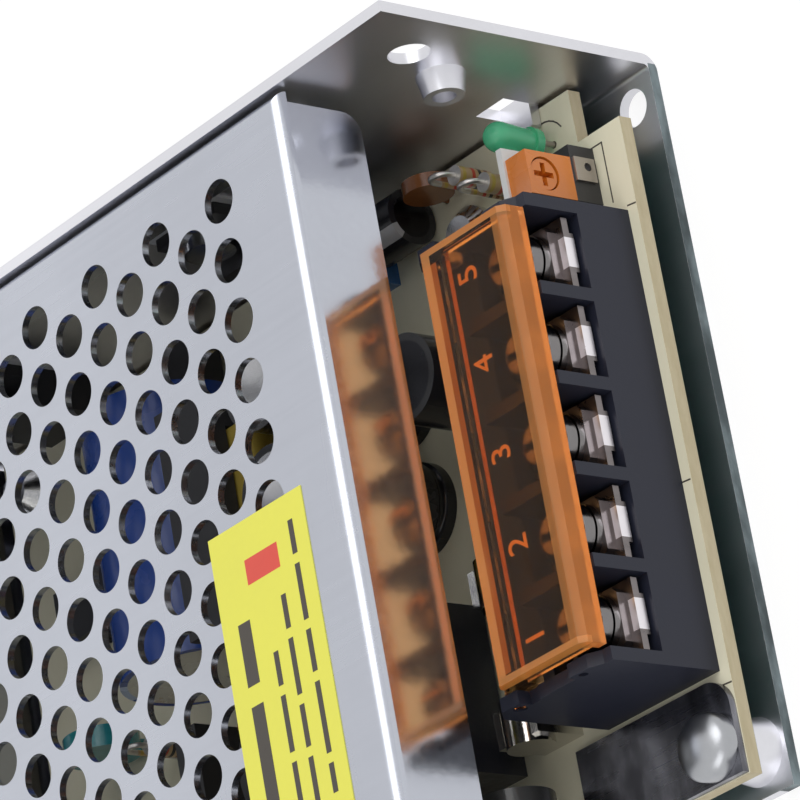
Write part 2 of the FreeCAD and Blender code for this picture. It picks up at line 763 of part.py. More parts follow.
def make_board():
    """Circuit board with its corner notch, screw holes, block slots and drilled lead holes."""
    near = "(sizes.chassis_sheet + sizes.board_wall_gap)"
    front = "sizes.board_front_x"
    back = "sizes.board_end_x"
    side = "(sizes.case_width - sizes.board_open_gap)"
    notch_x = "(%s + sizes.notch_length)" % front
    notch_y = "(%s + sizes.notch_width)" % near
    work = Sheet("board")
    profile = work.outline("xy", [
        (notch_x, near), (back, near), (back, side), (front, side), (front, notch_y),
        (notch_x, notch_y)], offset=BOARD_BOTTOM)
    work.pad(profile, "sizes.board_thickness")
    slot = work.block(("(%s - 0.2)" % contact_pin_x(), "(%s - 0.2)" % contact_pin_y(), "0"),
                      ("(sizes.contact_thickness + 0.4)", "(sizes.contact_pin_width + 0.4)",
                       "10"), add=False)
    work.row("slot_row", [slot], "sizes.way_pitch", "sizes.ways")
    drills = []
    for index, (across, along) in enumerate(standoff_places()):
        drills.append(rod("screw_drill_%d" % index, (across, along, "0"),
                          "(sizes.screw_radius + sizes.screw_clearance)", "10"))
    for index, (across, along, radius) in enumerate(lead_places):
        drills.append(rod("lead_drill_%d" % index, (across, along, "0"),
                          "(%s + sizes.drill_clearance)" % radius, "10"))
    return finish("circuit_board", cut("board_drilled", work.body, drills))


def lead(name, x, y, top, radius="sizes.lead_radius"):
    """A wire that comes up through the board, with its place noted for drilling."""
    lead_places.append((x, y, radius))
    low = "(%s - sizes.lead_below)" % BOARD_BOTTOM
    return rod(name, (x, y, low), radius, "(%s - %s)" % (top, low))


def contact_pin_x():
    return "(sizes.block_front_x + sizes.pocket_depth - sizes.contact_thickness - 0.3)"


def contact_pin_y(way=0):
    """Near side of one contact's solder pin."""
    return "(%s - sizes.contact_pin_width / 2)" % way_middle(way)


def way_middle(way):
    """Middle of one way of the terminal block."""
    return "(sizes.block_first_y + sizes.barrier / 2 + (%d + 0.5) * sizes.way_pitch)" % way


def way_digit(way):
    """The flap counts the ways down from the wall side, so the last one is number one."""
    return int(number("ways")) - way


def make_housing():
    """Moulded barrier block: apron, barriers, end walls with hinge ears, and five pockets."""
    front = "sizes.block_front_x"
    back = "(sizes.block_front_x + sizes.block_depth)"
    low = BOARD_TOP
    sill = "(%s + sizes.apron_height)" % BOARD_TOP
    rear = "(%s + sizes.rear_height)" % BOARD_TOP
    crest = "(%s + sizes.barrier_height)" % BOARD_TOP
    pocket_back = "(%s + sizes.pocket_depth)" % front
    long = "(%s - sizes.block_first_y)" % BLOCK_END_Y
    work = Sheet("housing")
    # Section of the whole moulding, drawn on the end
    section = work.outline("xz", [
        (front, low), (back, low), (back, rear), (pocket_back, rear), (pocket_back, crest),
        (front, crest)], offset="sizes.block_first_y")
    work.pad(section, long, back=True)
    # End walls carry the hinge ears and a raised stop at the front
    ear = "(%s + sizes.hinge_pin_radius + sizes.hinge_pin_gap + sizes.ear_wall)" % HINGE_Z
    recess = "(%s + sizes.recess_rise)" % BOARD_TOP
    stop = "(%s + sizes.stop_rise)" % BOARD_TOP
    stop_back = "(%s + sizes.stop_back)" % front
    for near in ("sizes.block_first_y", "(%s - sizes.barrier)" % BLOCK_END_Y):
        cheek = work.outline("xz", [
            (front, low), (back, low), (back, "(%s - 1.6)" % ear), ("(%s - 1.6)" % back, ear),
            ("(sizes.hinge_x - sizes.ear_front)", ear),
            ("(sizes.hinge_x - sizes.ear_front)", recess), (stop_back, recess),
            (stop_back, stop), ("(%s + 2.6)" % front, stop), ("(%s + 1.2)" % front, crest),
            (front, "(%s - 1.2)" % crest)], offset=near)
        work.pad(cheek, "sizes.barrier", back=True)
    # One pocket per way, open to the front and the top
    first = "(sizes.block_first_y + sizes.barrier)"
    wide = "(sizes.way_pitch - sizes.barrier)"
    screw_x = "(%s + sizes.terminal_screw_x)" % front
    middle = way_middle(0)
    well = "(%s + sizes.clamp_thickness - sizes.terminal_screw_length - 0.6)" % CONTACT_TOP
    tools = [
        work.block(("(%s - 1)" % front, first, SEAT_Z),
                   ("(sizes.pocket_depth + 1)", wide, "20"), add=False),
        work.block(("(%s - 1)" % front, first, sill),
                   ("(1 + sizes.contact_front_gap + sizes.contact_thickness + 0.3)", wide, "5"),
                   add=False),
        work.round_tool((screw_x, middle, well),
                        "(sizes.terminal_screw_radius + 0.5)", "10"),
        work.block(("(%s - 0.2)" % contact_pin_x(), "(%s - 0.2)" % contact_pin_y(), "0"),
                   ("(sizes.contact_thickness + 0.4)", "(sizes.contact_pin_width + 0.4)",
                    "30"), add=False),
    ]
    work.row("pocket_row", tools, "sizes.way_pitch", "sizes.ways")
    # Hinge holes through the end walls, and the small hole beside the front stop
    work.round_tool(("sizes.hinge_x", "(sizes.block_first_y - 1)", HINGE_Z),
                    "(sizes.hinge_pin_radius + sizes.hinge_pin_gap)", "(%s + 2)" % long,
                    along="y")
    work.round_tool(("(%s + sizes.catch_hole_x)" % front, "(sizes.block_first_y - 1)",
                     "(%s + 0.1)" % crest), "sizes.catch_hole_radius", "(%s + 2)" % long,
                    along="y")
    return finish("terminal_housing", work.body)


def make_contact(way):
    """Tinned contact plate: a seat with a turned-down lip in front and a solder pin behind."""
    front = "(sizes.block_front_x + sizes.contact_front_gap)"
    middle = way_middle(way)
    thick = "sizes.contact_thickness"
    seat = box("contact_seat_%d" % way, (front, "(%s - sizes.contact_width / 2)" % middle, SEAT_Z),
               ("(%s + %s - %s)" % (contact_pin_x(), thick, front), "sizes.contact_width", thick))
    lip = box("contact_lip_%d" % way,
              (front, "(%s - sizes.contact_lip_width / 2)" % middle,
               "(%s - sizes.contact_lip_drop)" % CONTACT_TOP),
              (thick, "sizes.contact_lip_width", "sizes.contact_lip_drop"))
    low = "(%s - 1.4)" % BOARD_BOTTOM
    pin = box("contact_pin_%d" % way, (contact_pin_x(), contact_pin_y(way), low),
              (thick, "sizes.contact_pin_width", "(%s - %s)" % (CONTACT_TOP, low)))
    hole = rod("contact_hole_%d" % way,
               ("(sizes.block_front_x + sizes.terminal_screw_x)", middle, "(%s - 1)" % SEAT_Z),
               "(sizes.terminal_screw_radius + 0.1)", "4")
    blank = join("contact_blank_%d" % way, [seat, lip, pin])
    return finish("contact_plate_%d" % way_digit(way), cut("contact_%d" % way, blank, [hole]))


def make_clamp(way):
    """Square clamp plate with cropped corners, held under the screw's washer."""
    x = "(sizes.block_front_x + sizes.terminal_screw_x)"
    middle = way_middle(way)
    half = "sizes.clamp_size / 2"
    plate = box("clamp_blank_%d" % way,
                ("(%s - %s)" % (x, half), "(%s - %s)" % (middle, half), CONTACT_TOP),
                ("sizes.clamp_size", "sizes.clamp_size", "sizes.clamp_thickness"))
    doc.recompute()
    cropped = doc.addObject("Part::Chamfer", "clamp_cropped_%d" % way)
    cropped.Base = plate
    crop = number("clamp_corner")
    cropped.Edges = [(index, crop, crop) for index in edges_along(plate.Shape, "z")]
    bore = rod("clamp_bore_%d" % way, (x, middle, "(%s - 1)" % CONTACT_TOP),
               "(sizes.terminal_screw_radius + 0.3)", "6")
    return finish("clamp_plate_%d" % way_digit(way), cut("clamp_%d" % way, cropped, [bore]))


def make_terminal_screw(way):
    """Terminal screw with a captive washer, a domed head and a crossed slot."""
    x = "(sizes.block_front_x + sizes.terminal_screw_x)"
    middle = way_middle(way)
    under = "(%s + sizes.clamp_thickness)" % CONTACT_TOP
    seat = "(%s + sizes.washer_thickness)" % under
    washer = rod("screw_washer_%d" % way, (x, middle, under), "sizes.washer_radius",
                 "(sizes.washer_thickness - 0.15)")
    neck = rod("screw_neck_%d" % way, (x, middle, under), "(sizes.terminal_head_radius - 0.5)",
               "(sizes.washer_thickness + 0.2)")
    head = rod("screw_head_%d" % way, (x, middle, seat), "sizes.terminal_head_radius",
               "sizes.terminal_head_height * 0.6")
    crown = cone("screw_crown_%d" % way,
                 (x, middle, "(%s + sizes.terminal_head_height * 0.6)" % seat),
                 "sizes.terminal_head_radius", "sizes.terminal_head_radius * 0.7",
                 "sizes.terminal_head_height * 0.4")
    shank = rod("screw_shank_%d" % way, (x, middle, "(%s - sizes.terminal_screw_length)" % under),
                "sizes.terminal_screw_radius", "sizes.terminal_screw_length")
    blank = join("screw_blank_%d" % way, [washer, neck, head, crown, shank])
    slots = []
    floor = "(%s + sizes.terminal_head_height - sizes.slot_depth)" % seat
    long, short = "sizes.terminal_head_radius * 1.3", "sizes.slot_width"
    for name, size in (("across", (long, short)), ("along", (short, long))):
        slots.append(box("screw_%s_%d" % (name, way),
                         ("(%s - %s / 2)" % (x, size[0]), "(%s - %s / 2)" % (middle, size[1]),
                          floor), (size[0], size[1], "3")))
    return finish("terminal_screw_%d" % way_digit(way), cut("screw_%d" % way, blank, slots))


def make_flap():
    """Clear flap over the screws: panel, front lip, sides, stiffening rib and hinge arms."""
    front = "sizes.flap_front_x"
    back = "(sizes.flap_front_x + sizes.flap_depth)"
    thick = "sizes.flap_sheet"
    under = "(%s - %s)" % (FLAP_TOP, thick)
    first = "(sizes.block_first_y + sizes.barrier + sizes.flap_end_gap)"
    last = "(%s - sizes.barrier - sizes.flap_end_gap)" % BLOCK_END_Y
    long = "(%s - %s)" % (last, first)
    edge = "sizes.flap_edge"
    work = Sheet("flap")
    section = work.outline("xz", [
        (front, "(%s - sizes.flap_lip)" % FLAP_TOP), (front, "(%s - %s)" % (FLAP_TOP, edge)),
        ("(%s + %s)" % (front, edge), FLAP_TOP), ("(%s - %s)" % (back, edge), FLAP_TOP),
        (back, "(%s - %s)" % (FLAP_TOP, edge)), (back, under),
        ("(%s + %s)" % (front, thick), under),
        ("(%s + %s)" % (front, thick), "(%s - sizes.flap_lip)" % FLAP_TOP)], offset=first)
    work.pad(section, long, back=True)
    side_low = "(%s - sizes.flap_side_depth)" % FLAP_TOP
    arm = "(sizes.hinge_ear_radius)"
    for near, deep in ((first, first), ("(%s - sizes.flap_side)" % last,
                                        "(%s - %s)" % (last, thick))):
        work.block((front, near, side_low),
                   ("(%s - %s)" % (back, front), "sizes.flap_side",
                    "(%s - %s)" % (under, side_low)))
        work.block(("(%s - 2 * %s)" % (back, arm), deep, HINGE_Z),
                   ("(2 * %s)" % arm, thick, "(%s - %s)" % (under, HINGE_Z)))
        work.block(("(%s - 2 * %s)" % (back, arm), deep, "(%s - %s)" % (HINGE_Z, arm)),
                   ("(sizes.hinge_x - %s + 2 * %s)" % (back, arm), thick, "(2 * %s)" % arm))
        work.round_tool(("sizes.hinge_x", deep, HINGE_Z), arm, thick, along="y", add=True)
    work.block(("(%s - sizes.flap_rib_inset - sizes.flap_rib_width)" % back, first,
                "(%s - sizes.flap_rib_depth)" % under),
               ("sizes.flap_rib_width", long, "sizes.flap_rib_depth"))
    pin = "(sizes.flap_end_gap + sizes.barrier - 0.2)"
    work.round_tool(("sizes.hinge_x", "(%s - %s)" % (first, pin), HINGE_Z),
                    "sizes.hinge_pin_radius", "(%s + 0.2)" % pin, along="y", add=True)
    work.round_tool(("sizes.hinge_x", "(%s - 0.2)" % last, HINGE_Z), "sizes.hinge_pin_radius",
                    "(%s + 0.2)" % pin, along="y", add=True)
    return finish("terminal_flap", work.body)


def make_led():
    """Green indicator that leans to the wall: lens, domed tip, foot rim, and its two leads."""
    stand = "(%s + sizes.led_stand)" % BOARD_TOP
    x, y = "sizes.led_x", "sizes.led_y"
    straight = "(sizes.led_length - sizes.led_radius)"
    barrel = rod("led_barrel", ("0", "0", "0"), "sizes.led_radius", straight)
    rim = rod("led_rim", ("0", "0", "0"), "(sizes.led_radius + sizes.led_flange)",
              "sizes.led_rim_height")
    tip = doc.addObject("Part::Sphere", "led_tip")
    tip.setExpression("Radius", "sizes.led_radius")
    place(tip, ("0", "0", straight))
    lens = join("led", [barrel, rim, tip])
    lens.Placement = Placement(Vector(), Rotation(Vector(1, 0, 0), number("led_lean")))
    place(lens, (x, y, stand))
    finish("status_led", carry("led_leaning", lens))
    legs = []
    for side, sign in (("near", "-"), ("far", "+")):
        legs.append(lead("led_lead_" + side, "(%s %s sizes.led_lead_pitch / 2)" % (x, sign), y,
                         "(%s - 0.1)" % stand))
    finish("led_leads", join("led_lead_pair", legs))


def make_trimmer():
    """Upright trimmer: black foot, ceramic plate, orange body, turning rotor, metal wiper."""
    x, y = "sizes.trimmer_x", "sizes.trimmer_y"
    width, height = "sizes.trimmer_width", "sizes.trimmer_height"
    shoulder = "sizes.trimmer_shoulder"
    low = "(%s + sizes.trimmer_lift)" % BOARD_TOP
    back = "(%s + sizes.trimmer_depth)" % x
    foot = box("trimmer_foot", (x, "(%s - %s)" % (y, shoulder), BOARD_TOP),
               ("(sizes.trimmer_depth + sizes.trimmer_plate)", "(%s + %s)" % (width, shoulder),
                "sizes.trimmer_lift"))
    finish("trimmer_base", foot)
    plate = box("trimmer_ceramic", (back, "(%s - %s)" % (y, shoulder), low),
                ("sizes.trimmer_plate", "(%s + %s)" % (width, shoulder),
                 "(%s + 0.3)" % height))
    finish("trimmer_plate", plate)
    middle_y = "(%s + %s / 2)" % (y, width)
    middle_z = "(%s + %s - sizes.rotor_radius - sizes.rotor_drop)" % (low, height)
    shell = box("trimmer_shell", (x, y, low), ("sizes.trimmer_depth", width, height))
    recess = rod("trimmer_recess", ("(%s - 1)" % x, middle_y, middle_z),
                 "(sizes.rotor_radius + 0.15)", "(1 + sizes.trimmer_depth - 0.8)", along="x")
    finish("trimmer_housing", cut("trimmer_body", shell, [recess]))
    disc = rod("rotor_disc", ("(%s + 0.2)" % x, middle_y, middle_z), "sizes.rotor_radius",
               "(sizes.trimmer_depth - 1.2)", along="x")
    long = "sizes.rotor_radius * 1.5"
    slots = []
    for name, wide, tall in (("level", long, "sizes.rotor_slot"),
                             ("upright", "sizes.rotor_slot", long)):
        slots.append(box("rotor_" + name, ("(%s - 1)" % x, "(%s - %s / 2)" % (middle_y, wide),
                                            "(%s - %s / 2)" % (middle_z, tall)),
                         ("2.1", wide, tall)))
    finish("trimmer_rotor", cut("rotor", disc, slots))
    tab = box("wiper_tab", ("(%s - 0.35)" % x, y, "(%s + 0.5)" % BOARD_TOP),
              ("0.35", "2.6", "(sizes.trimmer_lift - 0.7)"))
    eye = rod("wiper_eye", ("(%s - 2)" % x, "(%s + 1.0)" % y, "(%s + 1.5)" % BOARD_TOP), "0.45",
              "4", along="x")
    finish("trimmer_wiper", cut("wiper", tab, [eye]))


def make_transformer():
    """Transformer: ferrite core round a taped winding, on a bobbin foot."""
    x = "(sizes.core_x - sizes.core_width / 2)"
    rise = "sizes.bobbin_height"
    foot = "(%s + %s)" % (BOARD_TOP, rise)
    limb = "sizes.core_limb"
    gap = "sizes.winding_gap"
    wide = "sizes.winding_width"
    left = "(sizes.core_x - %s / 2)" % wide
    core = box("core_block", (x, "sizes.core_y", foot),
               ("sizes.core_width", "sizes.core_length", "(sizes.core_height - %s)" % rise))
    window = box("core_window", ("(%s - 1)" % x, "(sizes.core_y + %s)" % limb,
                                 "(%s + %s)" % (foot, limb)),
                 ("(sizes.core_width + 2)", "(sizes.core_length - 2 * %s)" % limb,
                  "(sizes.core_height - %s - 2 * %s)" % (rise, limb)))
    finish("transformer_core", cut("core", core, [window]))
    wound = box("winding_block",
                (left, "(sizes.core_y + %s + %s)" % (limb, gap), "(%s + %s + %s)"
                 % (foot, limb, gap)),
                (wide, "(sizes.core_length - 2 * %s - 2 * %s)" % (limb, gap),
                 "(sizes.core_height - %s - 2 * %s - 2 * %s)" % (rise, limb, gap)))
    doc.recompute()
    coil = doc.addObject("Part::Fillet", "winding_rounded")
    coil.Base = wound
    bend = number("winding_bend")
    coil.Edges = [(index, bend, bend) for index in edges_along(wound.Shape, "y")]
    finish("transformer_winding", coil)
    base = box("bobbin_foot", (left, "(sizes.core_y + 1)", BOARD_TOP),
               (wide, "(sizes.core_length - 2)", rise))
    finish("transformer_bobbin", base)


def edges_along(shape, axis):
    """Numbers of a block's edges that run along one axis."""
    found = []
    for index, edge in enumerate(shape.Edges, start=1):
        start, end = (vertex.Point for vertex in edge.Vertexes)
        if abs(getattr(start, axis) - getattr(end, axis)) > 0.1:
            found.append(index)
    return found


def standing_can(name, x, y, radius, height, lift="0"):
    """Upright electrolytic capacitor with the crimped groove near its foot."""
    foot = "(%s + %s)" % (BOARD_TOP, lift)
    can = rod(name + "_can", (x, y, foot), radius, height)
    ring = doc.addObject("Part::Torus", name + "_groove")
    ring.setExpression("Radius1", "(%s + 0.35)" % radius)
    ring.Radius2 = 0.7
    place(ring, (x, y, "(%s + 1.8)" % foot))
    return cut(name + "_crimped", can, [ring])


def make_capacitors():
    """The big lying capacitor and the upright ones."""
    lift = "(%s + sizes.bulk_radius)" % BOARD_TOP
    can = rod("bulk_can", ("sizes.bulk_x", "sizes.bulk_y", lift), "sizes.bulk_radius",
              "sizes.bulk_length", along="y")
    finish("bulk_capacitor", can)
    for index in range(2):
        y = "(sizes.output_cap_y + %d * sizes.output_cap_pitch)" % index
        can = standing_can("output_can_%d" % index, "sizes.output_cap_x", y,
                           "sizes.output_cap_radius", "sizes.output_cap_height")
        finish("output_capacitor_%d" % (index + 1), can)
    # The small can lies on its side, with its wires bent down at the far end
    radius = "sizes.start_cap_radius"
    middle = "(%s + sizes.start_cap_rise + %s)" % (BOARD_TOP, radius)
    small = rod("start_can", ("sizes.start_cap_x", "sizes.start_cap_y", middle), radius,
                "sizes.start_cap_length", along="x")
    end = "(sizes.start_cap_x + sizes.start_cap_length)"
    bent = "(%s + 0.7)" % end
    parts = [small]
    for side, sign in (("near", "-"), ("far", "+")):
        y = "(sizes.start_cap_y %s sizes.start_cap_lead)" % sign
        parts.append(rod("start_wire_" + side, ("(%s - 0.5)" % end, y, middle),
                         "sizes.lead_radius", "(1.2 + sizes.lead_radius)", along="x"))
        parts.append(lead("start_lead_" + side, bent, y, middle))
    finish("start_capacitor", join("start_whole", parts))
    block = box("film_block", ("sizes.film_cap_x", "sizes.film_cap_y", BOARD_TOP),
                ("sizes.film_cap_width", "sizes.film_cap_length", "sizes.film_cap_height"))
    finish("suppression_capacitor", block)
    small_box = box("filter_block", ("sizes.filter_x", "sizes.filter_y", BOARD_TOP),
                    ("sizes.filter_width", "sizes.filter_length", "sizes.filter_height"))
    finish("filter_capacitor", small_box)


def make_discs():
    """Disc capacitors, the varistor and the inrush thermistor, each with two leads."""
    disc = ("sizes.disc_radius", "sizes.disc_thickness")
    places = {
        "ceramic_capacitor": ("sizes.ceramic_x", "sizes.ceramic_y",
                              "sizes.ceramic_radius", "sizes.ceramic_thickness"),
        "safety_capacitor": ("sizes.safety_x", "sizes.safety_y") + disc,
        "varistor": ("sizes.varistor_x", "sizes.varistor_y") + disc,
        "inrush_thermistor": ("sizes.thermistor_x", "sizes.thermistor_y",
                              "sizes.thermistor_radius", "sizes.thermistor_thickness"),
    }
    for name, (x, y, radius, thickness) in places.items():
        centre = "(%s + %s + sizes.disc_lift)" % (BOARD_TOP, radius)
        body = rod(name + "_disc", (x, y, centre), radius, thickness, along="y")
        legs = []
        for side, sign in (("near", "-"), ("far", "+")):
            legs.append(lead("%s_%s" % (name, side), "(%s %s %s * 0.6)" % (x, sign, radius),
                             "(%s + %s / 2)" % (y, thickness), centre))
        finish(name, join(name + "_whole", [body] + legs))


def make_choke():
    """Line choke: a ring core that stands on its edge, with two wound halves."""
    x, y = "sizes.choke_x", "sizes.choke_y"
    wire = "sizes.choke_wire"
    centre = "(%s + sizes.choke_radius + %s)" % (BOARD_TOP, wire)
    ring = rod("choke_ring", (x, y, centre), "sizes.choke_radius", "sizes.choke_width", along="x")
    bore = rod("choke_hole", ("(%s - 1)" % x, y, centre), "sizes.choke_bore",
               "(sizes.choke_width + 2)", along="x")
    core = cut("choke_core_ring", ring, [bore])
    finish("choke_core", core)
    outer = rod("coil_outer", ("(%s - %s)" % (x, wire), y, centre),
                "(sizes.choke_radius + %s)" % wire, "(sizes.choke_width + 2 * %s)" % wire,
                along="x")
    inner = rod("coil_inner", ("(%s - 5)" % x, y, centre), "(sizes.choke_bore - %s)" % wire,
                "(sizes.choke_width + 10)", along="x")
    room = rod("coil_room", (x, y, centre), "sizes.choke_radius", "sizes.choke_width", along="x")
    room_bore = rod("coil_room_bore", ("(%s - 1)" % x, y, centre), "sizes.choke_bore",
                    "(sizes.choke_width + 2)", along="x")
    seat = cut("coil_seat", room, [room_bore])
    split = box("coil_split", ("(%s - 5)" % x, "(%s - 20)" % y, "(%s - 1.6)" % centre),
                ("(sizes.choke_width + 10)", "40", "3.2"))
    coil = cut("coil", outer, [inner, seat, split])
    finish("choke_windings", coil)


def make_fuse():
    """Glass fuse with metal caps, in two clips."""
    x, y = "sizes.fuse_x", "sizes.fuse_y"
    centre = "(%s + sizes.fuse_height)" % BOARD_TOP
    glass = rod("fuse_glass", (x, "(%s + sizes.fuse_cap_length)" % y, centre),
                "(sizes.fuse_radius - 0.2)", "(sizes.fuse_length - 2 * sizes.fuse_cap_length)",
                along="y")
    finish("fuse_tube", glass)
    caps = []
    clips = []
    far = "(%s + sizes.fuse_length - sizes.fuse_cap_length)" % y
    for side, start in (("near", y), ("far", far)):
        caps.append(rod("fuse_cap_" + side, (x, start, centre), "sizes.fuse_radius",
                        "sizes.fuse_cap_length", along="y"))
        cradle = box("fuse_cradle_" + side,
                     ("(%s - sizes.fuse_radius - 0.5)" % x, "(%s + 0.6)" % start, BOARD_TOP),
                     ("(2 * sizes.fuse_radius + 1)", "(sizes.fuse_cap_length - 1.2)",
                      "(sizes.fuse_height + 1.6)"))
        hollow = rod("fuse_hollow_" + side, (x, "(%s - 1)" % start, centre),
                     "sizes.fuse_radius", "(sizes.fuse_cap_length + 2)", along="y")
        mouth = box("fuse_mouth_" + side,
                    ("(%s - sizes.fuse_radius + 0.5)" % x, "(%s - 1)" % start, centre),
                    ("(2 * sizes.fuse_radius - 1)", "(sizes.fuse_cap_length + 2)", "6"))
        clips.append(cut("fuse_clip_" + side, cradle, [hollow, mouth]))
    finish("fuse_caps", join("fuse_caps_pair", caps))
    finish("fuse_clips", join("fuse_clips_pair", clips))


def make_packages():
    """Power packages clamped to the side wall, each on a pad and held by one screw."""
    screws = []
    clear = "(sizes.screw_radius + sizes.screw_clearance)"
    for name, x in (("output_rectifier", "sizes.rectifier_x"),
                    ("switching_transistor", "sizes.transistor_x")):
        left = "(%s - sizes.package_width / 2)" % x
        tab = box(name + "_tab", (left, PACKAGE_Y, PACKAGE_Z),
                  ("sizes.package_width", "sizes.package_tab", "sizes.package_height"))
        block = box(name + "_block", (left, PACKAGE_Y, PACKAGE_Z),
                    ("sizes.package_width", "sizes.package_thickness", "sizes.package_body"))
        legs = []
        for index in range(3):
            legs.append(lead("%s_leg_%d" % (name, index),
                             "(%s + %d * sizes.package_leg_pitch)" % (x, index - 1),
                             "(%s + sizes.package_thickness / 2 + 0.4)" % PACKAGE_Y,
                             "(%s + 0.5)" % PACKAGE_Z, "sizes.package_leg_radius"))
        hole = rod(name + "_hole", (x, "0", TAB_HOLE_Z), clear, "6", along="y")
        whole = join(name + "_blank", [tab, block] + legs)
        finish(name, cut(name + "_drilled", whole, [hole]))
        pad = box(name + "_pad_blank",
                  ("(%s - 1)" % left, "sizes.chassis_sheet", "(%s - 1)" % PACKAGE_Z),
                  ("(sizes.package_width + 2)", "sizes.pad_thickness",
                   "(sizes.package_height + 2)"))
        pad_hole = rod(name + "_pad_hole", (x, "0", TAB_HOLE_Z), clear, "6", along="y")
        finish(name + "_pad", cut(name + "_pad_drilled", pad, [pad_hole]))
        face = "(%s + sizes.package_tab)" % PACKAGE_Y
        head = rod(name + "_screw_head", (x, face, TAB_HOLE_Z), "sizes.package_head_radius", "2",
                   along="y")
        shank = rod(name + "_screw_shank", (x, "0.2", TAB_HOLE_Z), "sizes.thread_radius",
                    "(%s + 0.3)" % face, along="y")
        screws.append(join(name + "_screw", [head, shank]))
    finish("package_screws", join("package_screw_pair", screws))


def make_small_parts():
    """Bridge rectifier, two chips and the drum choke."""
    chip_x = "sizes.control_chip_x"
    coupler_x = "sizes.optocoupler_x"
    bridge = box("bridge_block", ("sizes.bridge_x", "sizes.bridge_y", "(%s + 1.5)" % BOARD_TOP),
                 ("sizes.bridge_width", "sizes.bridge_length", "sizes.bridge_height"))
    legs = []
    for index in range(4):
        y = "(sizes.bridge_y + sizes.bridge_length * %s)" % ((index + 0.5) / 4)
        legs.append(lead("bridge_leg_%d" % index, "(sizes.bridge_x + sizes.bridge_width / 2)", y,
                         "(%s + 2)" % BOARD_TOP, "sizes.package_leg_radius"))
    finish("bridge_rectifier", join("bridge", [bridge] + legs))
    for name, x, y, pairs in (("control_chip", chip_x, "sizes.control_chip_y", 4),
                              ("optocoupler", coupler_x, "sizes.optocoupler_y", 2)):
        length = "(%d * sizes.chip_pin_pitch)" % pairs
        chip = box(name + "_block", (x, y, "(%s + 0.6)" % BOARD_TOP),
                   (length, "sizes.chip_width", "sizes.chip_height"))
        pins = []
        for side, shift in (("near", "0"), ("far", "sizes.chip_width")):
            for index in range(pairs):
                across = "(%s + %s * sizes.chip_pin_pitch)" % (x, index + 0.5)
                pins.append(lead("%s_pin_%s_%d" % (name, side, index), across,
                                 "(%s + %s)" % (y, shift), "(%s + 2)" % BOARD_TOP,
                                 "sizes.chip_pin_radius"))
        finish(name, join(name + "_whole", [chip] + pins))
    drum = rod("drum", ("sizes.drum_x", "sizes.drum_y", BOARD_TOP), "sizes.drum_radius",
               "sizes.drum_height")
    finish("output_inductor", drum)


def make_resistors():
    """Standing resistors: a barrel on one wire that bends over and comes down beside it."""
    bodies = []
    bow = "sizes.resistor_bow"
    places = [("sizes.resistor_0_x", "sizes.resistor_0_y"),
              ("sizes.resistor_1_x", "sizes.resistor_1_y"),
              ("sizes.resistor_2_x", "sizes.resistor_2_y"),
              ("sizes.resistor_3_x", "sizes.resistor_3_y")]
    for index, (x, y) in enumerate(places):
        foot = "(%s + sizes.resistor_lift)" % BOARD_TOP
        crest = "(%s + sizes.resistor_length + 0.8)" % foot
        barrel = rod("resistor_barrel_%d" % index, (x, y, foot), "sizes.resistor_radius",
                     "sizes.resistor_length")
        return_x = "(%s + 2 * %s)" % (x, bow)
        up = lead("resistor_up_%d" % index, x, y, crest)
        down = lead("resistor_down_%d" % index, return_x, y, crest)
        arch = doc.addObject("Part::Torus", "resistor_arch_%d" % index)
        arch.Placement = Placement(Vector(), Rotation(Vector(1, 0, 0), 90))
        arch.Angle3 = 180
        bind(arch, {"Radius1": bow, "Radius2": "sizes.lead_radius"})
        place(arch, ("(%s + %s)" % (x, bow), y, crest))
        bodies.append(join("resistor_whole_%d" % index, [barrel, up, down, arch]))
    finish("resistors", join("resistor_group", bodies))


def pan_screw(name, x, y, seat, length):
    """Pan headed machine screw that points down."""
    head = rod(name + "_rim", (x, y, seat), "sizes.pan_head_radius",
               "(sizes.pan_head_height * 0.45)")
    crown = cone(name + "_crown", (x, y, "(%s + sizes.pan_head_height * 0.45)" % seat),
                 "sizes.pan_head_radius", "(sizes.pan_head_radius * 0.62)",
                 "(sizes.pan_head_height * 0.55)")
    shank = rod(name + "_shank", (x, y, "(%s - %s)" % (seat, length)), "sizes.thread_radius",
                length)
    return join(name, [head, crown, shank])


def make_fasteners():
    """Screws of the foot, the board and the cover."""
    x, y = standoff_places()[0]
    seat = "(%s + sizes.cover_sheet)" % BOARD_TOP
    finish("foot_screw", pan_screw("foot_screw_whole", x, y, seat, "5"))
    board = []
    for index, (x, y) in enumerate(standoff_places()[1:]):
        board.append(pan_screw("board_screw_%d" % index, x, y, BOARD_TOP, "4"))
    finish("board_screws", join("board_screw_set", board))
    flats = []
    for index, spot in enumerate(cover_screw_places()):
        head = cone("flat_head_%d" % index, (spot, "0", COVER_SCREW_Z),
                    "sizes.flat_head_radius", "sizes.thread_radius",
                    "sizes.chassis_sheet", along="y")
        shank = rod("flat_shank_%d" % index, (spot, "0.6", COVER_SCREW_Z), "sizes.thread_radius",
                    "4", along="y")
        flats.append(join("flat_screw_%d" % index, [head, shank]))
    end_x = "(sizes.case_length - sizes.cover_sheet)"
    head = cone("end_head", (end_x, END_SCREW_Y, END_SCREW_Z), "(sizes.screw_radius + 0.1)",
                "sizes.flat_head_radius", "sizes.cover_sheet", along="x")
    shank = rod("end_shank", ("(%s - 3.4)" % end_x, END_SCREW_Y, END_SCREW_Z),
                "sizes.thread_radius", "3.6", along="x")
    flats.append(join("end_screw", [head, shank]))
    finish("cover_screws", join("cover_screw_set", flats))


